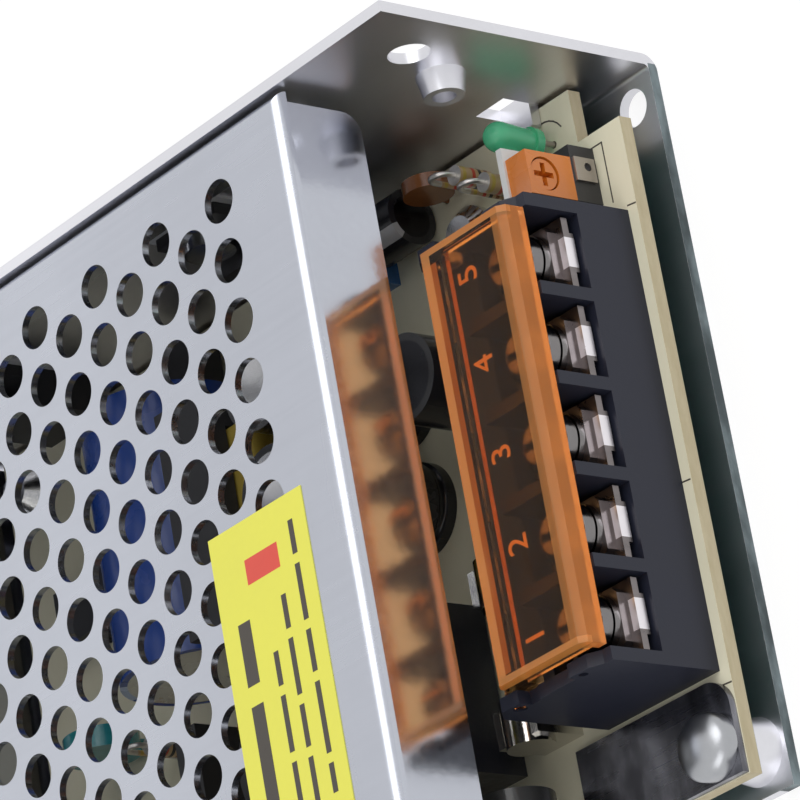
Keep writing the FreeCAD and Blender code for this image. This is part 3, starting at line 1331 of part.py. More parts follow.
def make_label():
    """Bare yellow sticker on the cover, beside the front bend."""
    sticker = box("sticker", ("sizes.label_x", "sizes.label_y", "sizes.case_height"),
                  ("sizes.label_width", "sizes.label_length", "sizes.label_thickness"))
    finish("label", sticker)


make_chassis()
make_cover()
make_insulation()
make_housing()
for way_number in range(int(number("ways"))):
    make_contact(way_number)
    make_clamp(way_number)
    make_terminal_screw(way_number)
make_flap()
make_led()
make_trimmer()
make_transformer()
make_capacitors()
make_discs()
make_choke()
make_fuse()
make_packages()
make_small_parts()
make_resistors()
make_board()
make_fasteners()
make_label()
doc.recompute()

# Nothing is written unless every object and every piece is sound
troubled = [item.Name for item in doc.Objects if "Invalid" in item.State or "Error" in item.State]
if troubled:
    raise RuntimeError("failed objects: %s" % troubled)
for label, piece in pieces.items():
    shape = piece.Shape
    if shape.isNull() or not shape.isValid() or not shape.Solids:
        raise RuntimeError("bad shape: " + label)

os.makedirs("parts", exist_ok=True)
for label, piece in pieces.items():
    piece.Shape.exportStep("parts/%s.step" % label)
print("%d pieces written" % len(pieces))
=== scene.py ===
# %% [markdown]
# # A small enclosed power supply
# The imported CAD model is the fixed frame. This lesson gives each of its pieces a finish, adds the
# small parts that solids leave out, and lights the whole as it stands in the photograph. All
# lengths are metres, and MM turns millimetres into them.

# %% Load the frame
import math

import bmesh
import bpy
from mathutils import Matrix, Quaternion, Vector


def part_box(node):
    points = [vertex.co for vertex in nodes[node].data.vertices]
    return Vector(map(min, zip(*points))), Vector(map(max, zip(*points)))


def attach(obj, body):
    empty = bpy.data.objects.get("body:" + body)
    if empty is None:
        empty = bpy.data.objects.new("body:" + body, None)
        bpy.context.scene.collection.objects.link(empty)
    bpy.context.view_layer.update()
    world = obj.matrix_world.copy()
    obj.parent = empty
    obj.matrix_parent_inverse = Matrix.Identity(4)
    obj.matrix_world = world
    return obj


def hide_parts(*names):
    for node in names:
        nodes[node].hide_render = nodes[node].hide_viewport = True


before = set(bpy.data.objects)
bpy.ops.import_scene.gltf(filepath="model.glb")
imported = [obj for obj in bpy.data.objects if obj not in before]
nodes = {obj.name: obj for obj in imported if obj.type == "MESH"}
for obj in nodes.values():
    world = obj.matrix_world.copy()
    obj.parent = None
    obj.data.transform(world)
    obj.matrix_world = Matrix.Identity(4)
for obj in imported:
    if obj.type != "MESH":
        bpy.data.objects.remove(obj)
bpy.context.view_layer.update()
MM = 0.001
case_low, case_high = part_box("chassis")

# %% [markdown]
# In the photograph the case looks as if it stood almost on end, so the camera is rolled by more
# than eighty degrees. Its place, its aim and its lens come from a fit to the case's corners and
# vent holes. `to_track_quat` gives a camera that stands upright, and a turn about its own axis
# then gives the roll.

# %% Camera
CAMERA_PLACE = Vector((-0.408513, 0.191172, 0.366023))
CAMERA_AIM = Vector((-0.030361, -0.009049, 0.020))
CAMERA_ROLL = math.radians(-81.817)
CAMERA_LENS = 248.596
SENSOR_WIDTH = 36.0
NEAREST_SEEN = 0.01

lens = bpy.data.cameras.new("photo_lens")
lens.lens = CAMERA_LENS
lens.sensor_width = SENSOR_WIDTH
lens.clip_start = NEAREST_SEEN
camera = bpy.data.objects.new("photo_camera", lens)
upright = (CAMERA_AIM - CAMERA_PLACE).to_track_quat("-Z", "Y")
camera.rotation_mode = "QUATERNION"
camera.rotation_quaternion = upright @ Quaternion((0, 0, 1), CAMERA_ROLL)
camera.location = CAMERA_PLACE
bpy.context.scene.collection.objects.link(camera)
bpy.context.scene.camera = camera
print("camera is", round((CAMERA_AIM - CAMERA_PLACE).length, 3), "m away")

# %% [markdown]
# Shader maths reads best as plain expressions. The class below wraps one socket of a material and
# turns `+`, `-`, `*` and `/` into Math nodes. Every other node comes from its one method `node`.

# %% A socket that can be used in expressions
class Signal:
    """One output socket of a material's node tree."""

    def __init__(self, tree, socket):
        self.tree = tree
        self.socket = socket

    def node(self, kind, inputs, settings=None, output=0):
        """Any shader node: its settings are made first, then its inputs."""
        made = self.tree.nodes.new("ShaderNode" + kind)
        for name, value in (settings or {}).items():
            if name == "stops":
                fill_ramp(made.color_ramp, value)
            else:
                setattr(made, name, value)
        for name, value in inputs.items():
            if isinstance(value, Signal):
                self.tree.links.new(value.socket, made.inputs[name])
            else:
                made.inputs[name].default_value = value
        return Signal(self.tree, made.outputs[output])

    def math(self, operation, *others):
        """A Math node on this signal and any others."""
        return self.node("Math", dict(enumerate((self,) + others)), {"operation": operation})

    def __add__(self, other):
        return self.math("ADD", other)

    def __sub__(self, other):
        return self.math("SUBTRACT", other)

    def __rsub__(self, other):
        return self * -1.0 + other

    def __mul__(self, other):
        return self.math("MULTIPLY", other)

    def __truediv__(self, other):
        return self.math("DIVIDE", other)

    __radd__ = __add__
    __rmul__ = __mul__

    def above(self, limit):
        """One where this is more than the limit, and nought elsewhere."""
        return self.math("GREATER_THAN", limit)

    def below(self, limit):
        """One where this is less than the limit, and nought elsewhere."""
        return self.math("LESS_THAN", limit)

    def size(self):
        """How far this is from nought."""
        return self.math("ABSOLUTE")

    def rise(self, low, high):
        """Nought at low, one at high, with a soft start and end."""
        inputs = {"Value": self, "From Min": low, "From Max": high}
        return self.node("MapRange", inputs, {"interpolation_type": "SMOOTHSTEP"})

    def tint(self, first, second):
        """A colour that goes from the first to the second as this goes from nought to one."""
        inputs = {0: self, 6: opaque(first), 7: opaque(second)}
        return self.node("Mix", inputs, {"data_type": "RGBA"}, output=2)


def opaque(colour):
    """A colour with its fourth number, or a signal as it is."""
    return colour if isinstance(colour, Signal) else tuple(colour) + (1.0,)


def fill_ramp(ramp, stops):
    """Put the given stops on a colour ramp."""
    while len(ramp.elements) < len(stops):
        ramp.elements.new(0.5)
    for element, (position, colour) in zip(ramp.elements, stops):
        element.position = position
        element.color = opaque(colour)


print("expressions are ready")

# %% [markdown]
# A finish starts from Blender's Principled shader and from the object's own coordinates, which
# are the model's own metres, because every piece sits at the origin. Two or three noises of
# different size do most of the work: a fine one for the grain, a broad one for uneven colour and
# a stretched one for the lines that rolling leaves in sheet.

# %% Helpers for finishes
def new_finish(name, **constants):
    """A material, its shader node and the place on the object as a signal."""
    material = bpy.data.materials.new(name)
    material.use_nodes = True
    tree = material.node_tree
    shader = tree.nodes["Principled BSDF"]
    coordinates = tree.nodes.new("ShaderNodeTexCoord")
    for socket, value in constants.items():
        shader.inputs[socket.replace("_", " ")].default_value = value
    return material, shader, Signal(tree, coordinates.outputs["Object"])


def feed(shader, **signals):
    """Link signals into the shader's sockets."""
    for socket, signal in signals.items():
        signal.tree.links.new(signal.socket, shader.inputs[socket.replace("_", " ")])


def show_mixed(tree, share, first, second):
    """Show the second shader where the share is one, and the first where it is nought."""
    blend = tree.nodes.new("ShaderNodeMixShader")
    tree.links.new(share.socket, blend.inputs[0])
    tree.links.new(first.outputs[0], blend.inputs[1])
    tree.links.new(second.outputs[0], blend.inputs[2])
    tree.links.new(blend.outputs[0], tree.nodes["Material Output"].inputs[0])


def noise(place, size, detail=2.0, stretch=(1, 1, 1)):
    """Noise whose patches are about the given size in metres."""
    spread = place.node("Mapping", {"Vector": place, "Scale": stretch})
    inputs = {"Vector": spread, "Scale": 1.0 / size, "Detail": detail, "Roughness": 0.55}
    return place.node("TexNoise", inputs)


def bump(height, distance, strength=1.0):
    """Turn a height into a normal."""
    inputs = {"Height": height, "Distance": distance, "Strength": strength}
    return height.node("Bump", inputs)


def parts_of(place):
    """The three coordinates of a place as separate signals."""
    split = place.node("SeparateXYZ", {0: place})
    sockets = split.socket.node.outputs
    return [Signal(place.tree, socket) for socket in sockets]


def scaled(colour, factor):
    """A colour made darker or lighter, and never more than white."""
    return tuple(min(1.0, factor * part) for part in colour)


def dress(material, *names):
    """Give CAD nodes a finish."""
    for name in names:
        for slot in nodes[name].material_slots:
            slot.material = material


print("finish helpers are ready")

# %% [markdown]
# The case is bright plated steel. Its inside and the cover's front flange are glossy, while the
# cover's top is softer and carries fine rolling lines and a few scuffs. The lines are a noise
# that is stretched fifty times along the case, and they go into the colour, the roughness and a
# very low bump, because a real rolled sheet shows them mostly where light grazes it.
#
# Two places are duller, and their colour is painted dark with blotches, as painted shade and dark
# reflections: the foot beside the terminal block and the cut edge of the base under it. A box on
# the object's own coordinates picks out each.

# %% Plated sheet
def inside_box(coordinates, low, high):
    """One inside the box between two corners, and nought outside it."""
    mask = 1.0
    for coordinate, start, end in zip(coordinates, low, high):
        mask = coordinate.above(start) * coordinate.below(end) * mask
    return mask


def sheet_finish(name, colour, painted_shade_colour, gloss, satin, satin_above, dull_painted_shade_box):
    """Satin above one height, duller and painted dark as shade inside a box, and glossy elsewhere.
    """
    material, shader, place = new_finish(name, Metallic=1.0)
    x, y, height = parts_of(place)
    lines = noise(place, 0.9 * MM, 3.0, stretch=(0.02, 1.0, 1.0))
    smudges = noise(place, 12 * MM, 4.0)
    scuffs = noise(place, 3.5 * MM, 6.0, stretch=(1.0, 0.12, 1.0)).rise(0.62, 0.74)
    top = height.above(satin_above)
    # Painted shade: inside the box the sheet is duller and its colour is painted dark.
    dull_painted_shade = inside_box((x, y, height), *dull_painted_shade_box)
    # Painted light: the sheet's colour grows lighter as x rises, standing in for light that falls
    # off along the case.
    away = x.rise(-25 * MM, 5 * MM)
    tone_and_painted_light = (smudges * 0.4 + lines * 0.25 + away * 0.35).tint(scaled(colour, 0.84),
                                                              scaled(colour, 1.10))
    # Blotches of painted shade and dark reflections inside the box.
    shade_blotches = noise(place, 3.5 * MM, 5.0, stretch=(1.0, 0.4, 1.0)).rise(0.35, 0.70)
    blotchy_painted_shade = shade_blotches.tint(scaled(painted_shade_colour, 0.55), scaled(painted_shade_colour, 1.7))
    feed(shader, Base_Color=dull_painted_shade.tint(tone_and_painted_light, blotchy_painted_shade))
    roughness = (top * (satin - gloss)) + (dull_painted_shade * 0.14) + (smudges - 0.5) * 0.10 + gloss
    feed(shader, Roughness=roughness + (lines - 0.5) * 0.08 + scuffs * top * 0.10)
    waves = noise(place, 18 * MM, 1.0)
    feed(shader, Normal=bump(lines * 0.08 + waves, 0.07 * MM))
    return material


def case_box(low, high):
    """Two corners in millimetres from the case's corner, as places."""
    return case_low + Vector(low) * MM, case_low + Vector(high) * MM


BASE_EDGE = case_box((-1, 1, 0.01), (2, 80, 1.19))
FOOT = case_box((0, 60, 5), (22.9, 77.1, 9))
zinc = sheet_finish("zinc_sheet", (0.76, 0.76, 0.80), (0.14, 0.17, 0.18), gloss=0.34, satin=0.34,
                    satin_above=case_high.z, dull_painted_shade_box=BASE_EDGE)
cover_metal = sheet_finish("cover_sheet", (0.51, 0.53, 0.59), (0.18, 0.18, 0.20), gloss=0.13,
                           satin=0.26, satin_above=case_high.z - 1.0 * MM, dull_painted_shade_box=FOOT)
dress(zinc, "chassis")
dress(cover_metal, "cover")
print("sheet finishes made")

# %% [markdown]
# The terminal block is moulded in a dark slate-blue plastic with a fine spark texture. A broad
# noise keeps large faces from looking dead, and a fine one gives the bump. The same recipe with
# other numbers serves every moulding, the ferrite and the chip packages.

# %% Moulded plastics
def moulding(name, colour, roughness, grain=0.25 * MM, depth=0.01 * MM, coat=0.0, shine=0.5):
    """Moulded plastic with a cloudy colour and a fine grain."""
    material, shader, place = new_finish(name, Coat_Weight=coat, Coat_Roughness=0.08,
                                         Specular_IOR_Level=shine)
    cloud = noise(place, 6 * MM, 3.0)
    fine = noise(place, grain, 2.0)
    feed(shader, Base_Color=cloud.tint(scaled(colour, 0.86), scaled(colour, 1.12)))
    feed(shader, Roughness=roughness + (cloud - 0.5) * 0.14)
    feed(shader, Normal=bump(fine, depth, 0.6))
    return material


block_plastic = moulding("block", (0.016, 0.018, 0.031), 0.42, shine=0.30)
dark_plastic = moulding("black_moulding", (0.020, 0.020, 0.023), 0.42)
orange_plastic = moulding("orange_moulding", (0.66, 0.19, 0.018), 0.26, coat=0.3)
film_plastic = moulding("film", (0.86, 0.86, 0.80), 0.30)
white_ceramic = moulding("white_ceramic", (0.76, 0.77, 0.76), 0.40)
epoxy = moulding("epoxy", (0.022, 0.022, 0.025), 0.48, grain=0.12 * MM)
ferrite = moulding("ferrite", (0.032, 0.032, 0.036), 0.62, grain=0.4 * MM, depth=0.03 * MM)
soft_pad = moulding("pad", (0.50, 0.51, 0.52), 0.70)
dress(block_plastic, "terminal_housing")
dress(dark_plastic, "trimmer_base", "transformer_bobbin")
dress(orange_plastic, "trimmer_housing", "trimmer_rotor")
dress(film_plastic, "insulation_sheet")
dress(white_ceramic, "trimmer_plate")
dress(epoxy, "output_rectifier", "switching_transistor", "bridge_rectifier", "control_chip",
      "optocoupler")
dress(ferrite, "transformer_core", "choke_core")
dress(soft_pad, "output_rectifier_pad", "switching_transistor_pad")
print("mouldings dressed")

# %% [markdown]
# The flap, the light's lens and the fuse's tube are clear. Transmission is set on the shader's own
# socket, so light passes through and is tinted at each surface, and a slow bump stands for the
# slight ripple of a moulding. The flap stands in front of a white room, which would veil it with
# grey, so it gets a low index of refraction and a brown tint for what it mirrors.

# %% Clear amber, green and glass
def clear_plastic(name, colour, roughness, transmission, bend=1.49, glint=(1, 1, 1, 1)):
    """Tinted clear plastic: bend is its index, and glint tints what it mirrors."""
    material, shader, place = new_finish(name, Transmission_Weight=transmission, IOR=bend,
                                         Specular_Tint=glint)
    flow = noise(place, 4 * MM, 2.0)
    scuffs = noise(place, 1.6 * MM, 5.0, stretch=(1.0, 0.3, 1.0)).rise(0.60, 0.75)
    feed(shader, Base_Color=flow.tint(scaled(colour, 0.9), colour))
    feed(shader, Roughness=roughness + scuffs * 0.10)
    feed(shader, Normal=bump(flow, 0.04 * MM))
    return material


amber = clear_plastic("amber", (0.92, 0.50, 0.20), 0.17, 1.0, bend=1.24,
                      glint=(0.5, 0.4, 0.3, 1))
green_lens = clear_plastic("green_lens", (0.14, 0.78, 0.42), 0.22, 0.40)
glass = clear_plastic("clear_glass", (0.93, 0.96, 0.95), 0.02, 1.0)
dress(amber, "terminal_flap")
dress(green_lens, "status_led")
dress(glass, "fuse_tube")
print("clear parts dressed")

# %% [markdown]
# Light that enters a clear panel runs inside it and leaves at its edges, so the flap's rim and its
# front lip glow orange. Tracing that truly takes many bounces. A second, milky orange shader that
# is mixed in along the rim paints that glow and costs little. The panel's outline is measured from
# the highest vertices of the flap, because its hinge ears reach past the panel.

# %% Glowing rim of the flap
PANEL_THICKNESS = 1.2 * MM
RIM_WIDTH = 0.7 * MM
BACK_WIDTH = 1.2 * MM
LIP_DEPTH = 1.7 * MM
RIM_GLOW = 0.70
LIP_GLOW = 0.42


def glowing_edges(material, low, high):
    """Mix in a milky orange as painted glow round the rim of the panel between two corners."""
    tree = material.node_tree
    clear = tree.nodes["Principled BSDF"]
    coordinates = tree.nodes["Texture Coordinate"]
    x, y, z = parts_of(Signal(tree, coordinates.outputs["Object"]))
    # Painted glow: this orange shader stands in for light leaving the panel's rim and lip.
    painted_glow = tree.nodes.new("ShaderNodeBsdfPrincipled")
    painted_glow.inputs["Base Color"].default_value = (0.90, 0.33, 0.055, 1.0)
    painted_glow.inputs["Roughness"].default_value = 0.30
    painted_glow.inputs["Transmission Weight"].default_value = 0.30
    ends = y.below(low.y + RIM_WIDTH) + y.above(high.y - RIM_WIDTH)
    back = x.above(high.x - BACK_WIDTH)
    rim = (back + ends).math("MINIMUM", 1.0) * z.above(low.z) * RIM_GLOW
    painted_light_lip = x.below(low.x + LIP_DEPTH) * LIP_GLOW
    show_mixed(tree, rim.math("MAXIMUM", painted_light_lip), clear, painted_glow)


flap_low, flap_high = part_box("terminal_flap")
panel_top = [corner.co for corner in nodes["terminal_flap"].data.vertices
             if corner.co.z > flap_high.z - 0.5 * MM]
panel_low = Vector((flap_low.x, min(place.y for place in panel_top),
                    flap_high.z - PANEL_THICKNESS - 0.05 * MM))
panel_high = Vector([max(place[axis] for place in panel_top) for axis in range(3)])
glowing_edges(amber, panel_low, panel_high)
print("flap panel is", [round(side / MM, 1) for side in panel_high - panel_low], "mm")

# %% [markdown]
# Small metal parts are tinned or bright plated. They share one recipe: metal, a warm or neutral
# colour, and a blotchy roughness, because tin dulls unevenly.

# %% Small metal parts
def small_metal(name, colour, roughness, blotch=1.2 * MM):
    """Plated metal with uneven gloss."""
    material, shader, place = new_finish(name, Metallic=1.0)
    patches = noise(place, blotch, 4.0)
    fine = noise(place, 0.2 * MM, 2.0)
    feed(shader, Base_Color=patches.tint(scaled(colour, 0.84), colour))
    feed(shader, Roughness=roughness + (patches - 0.5) * 0.14)
    feed(shader, Normal=bump(fine, 0.008 * MM))
    return material


tinned = small_metal("tinned", (0.43, 0.40, 0.39), 0.30, blotch=2.2 * MM)
plated_screw = small_metal("screw", (0.78, 0.78, 0.77), 0.16)
# Painted shade: the terminal screws are painted dark, for the shade under the flap that dims what
# they mirror.
terminal_metal_painted_dark = small_metal("terminal_screw", (0.22, 0.21, 0.21), 0.18)
nickel = small_metal("nickel", (0.70, 0.68, 0.64), 0.14)
dress(tinned, "led_leads", "trimmer_wiper")
dress(nickel, "fuse_caps", "fuse_clips")
dress(plated_screw, "foot_screw", "board_screws", "cover_screws", "package_screws")
print("small metal parts dressed")

# %% [markdown]
# The contact and clamp plates are duller. Deep in their pockets their colour is painted dark as
# shade, and only the lip that reaches forward is painted bright as a highlight. Each way gets a
# material of its own, because the lip's mask needs the middle of its pocket.

# %% Contact and clamp plates
WAYS = range(1, 6)
LIP_LENGTH = 0.9 * MM
LIP_HALF_WIDTH = 1.6 * MM


def plate_finish(name, middle, front):
    """Tinned plate painted dark as shade, with a painted highlight mid-way along its front edge."""
    material, shader, place = new_finish(name, Metallic=1.0)
    x, y = parts_of(place)[:2]
    patches = noise(place, 1.8 * MM, 4.0, stretch=(1.0, 1.0, 0.3))
    # Painted shade: the plate is painted dark, for the shade deep in its pocket.
    dull_painted_shade = patches.tint((0.12, 0.11, 0.11), (0.30, 0.27, 0.27))
    painted_light_lip = x.below(front + LIP_LENGTH) * (y - middle).size().below(LIP_HALF_WIDTH)
    # Painted highlight: the lip is painted bright.
    feed(shader, Base_Color=painted_light_lip.tint(dull_painted_shade, (0.82, 0.79, 0.82)))
    feed(shader, Roughness=0.30 + (patches - 0.5) * 0.2)
    feed(shader, Normal=bump(patches, 0.02 * MM))
    return material


for way in WAYS:
    plate_low, plate_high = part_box("contact_plate_%d" % way)
    plate = plate_finish("tinned_%d" % way, (plate_low.y + plate_high.y) / 2, plate_low.x)
    dress(plate, "contact_plate_%d" % way, "clamp_plate_%d" % way)
    dress(terminal_metal_painted_dark, "terminal_screw_%d" % way)
print("plates and screws of", len(WAYS), "ways dressed")

# %% [markdown]
# The board is a paper laminate: cream lacquer on top, green underneath, and a fibrous brown edge.
# Two masks on height choose between the three, so one material serves the whole slab.

# %% Circuit board
LACQUER = 0.02 * MM
board_low, board_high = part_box("circuit_board")
BOARD_TOP = board_high.z


def laminate(name):
    """Cream above, green below, and fibres at the edge."""
    material, shader, place = new_finish(name)
    height = parts_of(place)[2]
    fibres = noise(place, 1.1 * MM, 4.0, stretch=(1.0, 0.25, 1.0))
    cloud = noise(place, 9 * MM, 3.0)
    cream = (cloud * 0.7 + fibres * 0.3).tint((0.80, 0.75, 0.54), (0.93, 0.89, 0.70))
    green = cloud.tint((0.020, 0.080, 0.068), (0.034, 0.108, 0.094))
    edge = fibres.tint((0.40, 0.33, 0.19), (0.62, 0.55, 0.38))
    is_top = height.above(BOARD_TOP - LACQUER)
    is_bottom = height.below(board_low.z + LACQUER)
    feed(shader, Base_Color=is_bottom.tint(is_top.tint(edge, cream), green))
    feed(shader, Roughness=0.62 - is_top * 0.22 - is_bottom * 0.30 + (cloud - 0.5) * 0.10)
    feed(shader, Normal=bump(fibres, 0.01 * MM))
    return material


board = laminate("board")
dress(board, "circuit_board")
print("board dressed")

# %% [markdown]
# The transformer's winding is wrapped in yellow tape. A sine along the case gives the turns, and
# a noise pushes it about, so that the turns don't look ruled.

# %% Tape
def tape_finish(name):
    """Yellow tape wound in narrow turns."""
    material, shader, place = new_finish(name)
    along = parts_of(place)[0]
    turn = noise(place, 1.6 * MM, 3.0, stretch=(0.4, 1.0, 1.0))
    ridge = (along * 1400.0 + turn * 2.0).math("SINE")
    feed(shader, Base_Color=turn.tint((0.42, 0.30, 0.05), (0.62, 0.47, 0.10)))
    feed(shader, Roughness=0.30 + turn * 0.15)
    feed(shader, Normal=bump(ridge * 0.4 + turn, 0.06 * MM))
    return material


dress(tape_finish("tape"), "transformer_winding")
print("winding taped")

# %% [markdown]
# A capacitor's can wears a shrink sleeve with a pale stripe down one side, and shows bare metal
# inside the sleeve's lip at its ends, with a cross-shaped groove. The stripe's mask compares
# directions round the can's own axis, which is the middle of the node's box.

# %% Sleeves
STRIPE_MIDDLE = 0.9
STRIPE_HALF = 0.28
END_DEPTH = 0.05 * MM
SLEEVE_LIP = 0.8 * MM
GROOVE_HALF = 0.15 * MM


def sleeve_finish(name, colour, stripe, node, axis, end_colour=(0.62, 0.62, 0.63)):
    """Shrink sleeve with a stripe, and another colour on the can's ends."""
    material, shader, place = new_finish(name)
    low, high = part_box(node)
    first, second = (axis + 1) % 3, (axis + 2) % 3
    radius = (high - low)[first] / 2
    coordinates = parts_of(place)
    along = coordinates[axis]
    across = coordinates[first] - (high[first] - radius)
    upward = coordinates[second] - (high[second] - radius)
    direction = upward.math("ARCTAN2", across)
    in_stripe = (direction - STRIPE_MIDDLE).size().below(STRIPE_HALF)
    out_from_axis = (across * across + upward * upward).math("SQRT")
    at_end = along.above(high[axis] - END_DEPTH) + along.below(low[axis] + END_DEPTH)
    bare = at_end * out_from_axis.below(radius - SLEEVE_LIP)
    cloud = noise(place, 5 * MM, 3.0)
    feed(shader, Base_Color=bare.tint(in_stripe.tint(colour, stripe), end_colour))
    feed(shader, Roughness=0.26 + (cloud - 0.5) * 0.16)
    feed(shader, Metallic=bare * 0.9)
    groove = across.size().below(GROOVE_HALF) + upward.size().below(GROOVE_HALF)
    feed(shader, Normal=bump(cloud * 0.3 - groove * bare, 0.1 * MM))
    return material


BLUE, PALE_BLUE = (0.010, 0.055, 0.30), (0.45, 0.55, 0.75)
BLACK, GREY, GOLD = (0.018, 0.018, 0.022), (0.45, 0.45, 0.46), (0.50, 0.42, 0.14)
SOOT = (0.03, 0.03, 0.035)
ALONG_X, ALONG_Y, ALONG_Z = range(3)
dress(sleeve_finish("blue_sleeve", BLUE, PALE_BLUE, "bulk_capacitor", ALONG_Y), "bulk_capacitor")
dress(sleeve_finish("black_sleeve", BLACK, GREY, "start_capacitor", ALONG_X, SOOT),
      "start_capacitor")
dress(sleeve_finish("drum_sleeve", BLACK, BLACK, "output_inductor", ALONG_Z, SOOT),
      "output_inductor")
for index in (1, 2):
    name = "output_capacitor_%d" % index
    dress(sleeve_finish("sleeve_%d" % index, BLACK, GOLD, name, ALONG_Z), name)
print("sleeves made")

# %% [markdown]
# Discs, boxes and wire are dipped in coloured resin or enamel. A thin coat over the colour gives
# the wet look, and a soft bump gives the slump of a dipped skin.

# %% Dipped coats
def dipped(name, colour, roughness=0.22):
    """A glossy dipped skin."""
    material, shader, place = new_finish(name, Coat_Weight=0.5, Coat_Roughness=0.06)
    cloud = noise(place, 2.2 * MM, 3.0)
    feed(shader, Base_Color=cloud.tint(scaled(colour, 0.82), colour))
    feed(shader, Roughness=roughness + (cloud - 0.5) * 0.10)
    feed(shader, Normal=bump(cloud, 0.12 * MM))
    return material


enamel = dipped("enamel_wire", (0.50, 0.16, 0.04), 0.25)
dress(dipped("teal_dip", (0.03, 0.30, 0.33)), "varistor")
dress(dipped("brown_dip", (0.28, 0.10, 0.03)), "ceramic_capacitor")
dress(dipped("blue_dip", (0.03, 0.16, 0.45)), "filter_capacitor", "safety_capacitor")
dress(dipped("black_dip", (0.02, 0.02, 0.02), 0.45), "inrush_thermistor")
dress(dipped("film_case", (0.022, 0.024, 0.034), 0.34), "suppression_capacitor")
dress(enamel, "choke_windings")
print("dipped parts dressed")

# %% [markdown]
# Each resistor wears four colour bands. They are rings round a standing barrel, so bands of height
# above the board pick them out, and a step ramp turns height into colour. Below and above the
# barrel there is bare wire.

# %% Resistors
BARREL_FOOT = BOARD_TOP + 1.2 * MM
BARREL_LENGTH = 4.4 * MM
TAN, WIRE_GREY = (0.55, 0.38, 0.20), (0.62, 0.60, 0.57)
BROWN, BLACK_BAND = (0.25, 0.08, 0.02), (0.02, 0.02, 0.02)
RED_BAND, GOLD_BAND = (0.62, 0.06, 0.03), (0.55, 0.40, 0.08)
BANDS = [(0.0, TAN), (0.14, BROWN), (0.24, TAN), (0.34, BLACK_BAND), (0.44, TAN),
         (0.54, RED_BAND), (0.64, TAN), (0.82, GOLD_BAND), (0.92, TAN)]


def banded(name):
    """Tan barrels with colour bands, on bare wires."""
    material, shader, place = new_finish(name, Coat_Weight=0.3)
    height = parts_of(place)[2]
    share = (height - BARREL_FOOT) / BARREL_LENGTH
    bands = share.node("ValToRGB", {"Fac": share}, {"stops": BANDS})
    bands.socket.node.color_ramp.interpolation = "CONSTANT"
    is_wire = share.below(0.0) + share.above(1.0)
    feed(shader, Base_Color=is_wire.tint(bands, WIRE_GREY))
    feed(shader, Metallic=is_wire * 0.9)
    feed(shader, Roughness=0.30 + noise(place, 1 * MM) * 0.1)
    return material


dress(banded("resistor_coat"), "resistors")
print("resistors dressed")

# %% [markdown]
# The label is a yellow paper sticker with a thin varnish. The inks are the same paper in other
# colours.

# %% Sticker paper
def sticker_paper(name, colour):
    """Varnished paper with fine fibres."""
    material, shader, place = new_finish(name, Coat_Weight=0.15)
    fibres = noise(place, 0.8 * MM, 5.0)
    cloud = noise(place, 10 * MM, 3.0)
    feed(shader, Base_Color=(cloud * 0.6 + fibres * 0.4).tint(scaled(colour, 0.90), colour))
    feed(shader, Roughness=0.50 + (cloud - 0.5) * 0.2)
    feed(shader, Normal=bump(fibres, 0.015 * MM))
    return material


yellow_paper = sticker_paper("yellow_label", (0.96, 0.93, 0.12))
red_ink = sticker_paper("red_ink", (0.84, 0.09, 0.06))
dark_ink = sticker_paper("dark_ink", (0.055, 0.045, 0.035))
dress(yellow_paper, "label")
print("label dressed")

# %% [markdown]
# New pieces come from bmesh operators. This helper turns a finished bmesh into an object that sits
# at the origin, rides on a body and wears the finish it is given.

# %% Helpers for new pieces
def add_piece(name, shape, material, body="case", smooth=False):
    """Make an object of a bmesh that rides on a body and wears the given finish."""
    mesh = bpy.data.meshes.new(name)
    bmesh.ops.recalc_face_normals(shape, faces=shape.faces)
    shape.to_mesh(mesh)
    shape.free()
    for face in mesh.polygons:
        face.use_smooth = smooth
    mesh.materials.append(material)
    piece = bpy.data.objects.new(name, mesh)
    bpy.context.scene.collection.objects.link(piece)
    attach(piece, body)
    return piece


def prism(shape, corners, low, high):
    """A flat outline given as points, drawn up from one height to another."""
    ring = [shape.verts.new((x, y, low)) for x, y in corners]
    face = shape.faces.new(ring)
    raised = bmesh.ops.extrude_face_region(shape, geom=[face])
    tops = [item for item in raised["geom"] if isinstance(item, bmesh.types.BMVert)]
    bmesh.ops.translate(shape, vec=(0, 0, high - low), verts=tops)


print("piece helpers are ready")

# %% [markdown]
# The flap carries the numbers of its five ways, as thin raised strokes on its underside. They
# read from the terminal end, so their up direction points into the case. Blender's text object
# draws each one, and a mesh made from it is then moved to the middle of its screw.

# %% Numbers in the flap
DIGIT_HEIGHT = 2.9 * MM
TEXT_SIZE = DIGIT_HEIGHT * 1.35
STROKE_DEPTH = 0.05 * MM
DIGIT_RISE = 0.06 * MM
DIGIT_X = flap_low.x + 7.1 * MM
DIGIT_SHIFT = 0.6 * MM
QUARTER_TURN = Matrix.Rotation(math.radians(-90), 4, "Z")
MERGE = 1e-7
digit_plastic = moulding("digit_plastic", (0.90, 0.55, 0.28), 0.35)


def digit_mesh(digit):
    """One digit as a mesh, flat and centred at the origin."""
    text = bpy.data.curves.new("digit_" + digit, "FONT")
    text.body = digit
    text.size = TEXT_SIZE
    text.extrude = STROKE_DEPTH
    text.align_x = "CENTER"
    text.align_y = "CENTER"
    carrier = bpy.data.objects.new("digit_text", text)
    bpy.context.scene.collection.objects.link(carrier)
    bpy.context.view_layer.update()
    drawn = carrier.evaluated_get(bpy.context.evaluated_depsgraph_get())
    flat = bpy.data.meshes.new_from_object(drawn)
    bpy.data.objects.remove(carrier)
    return flat


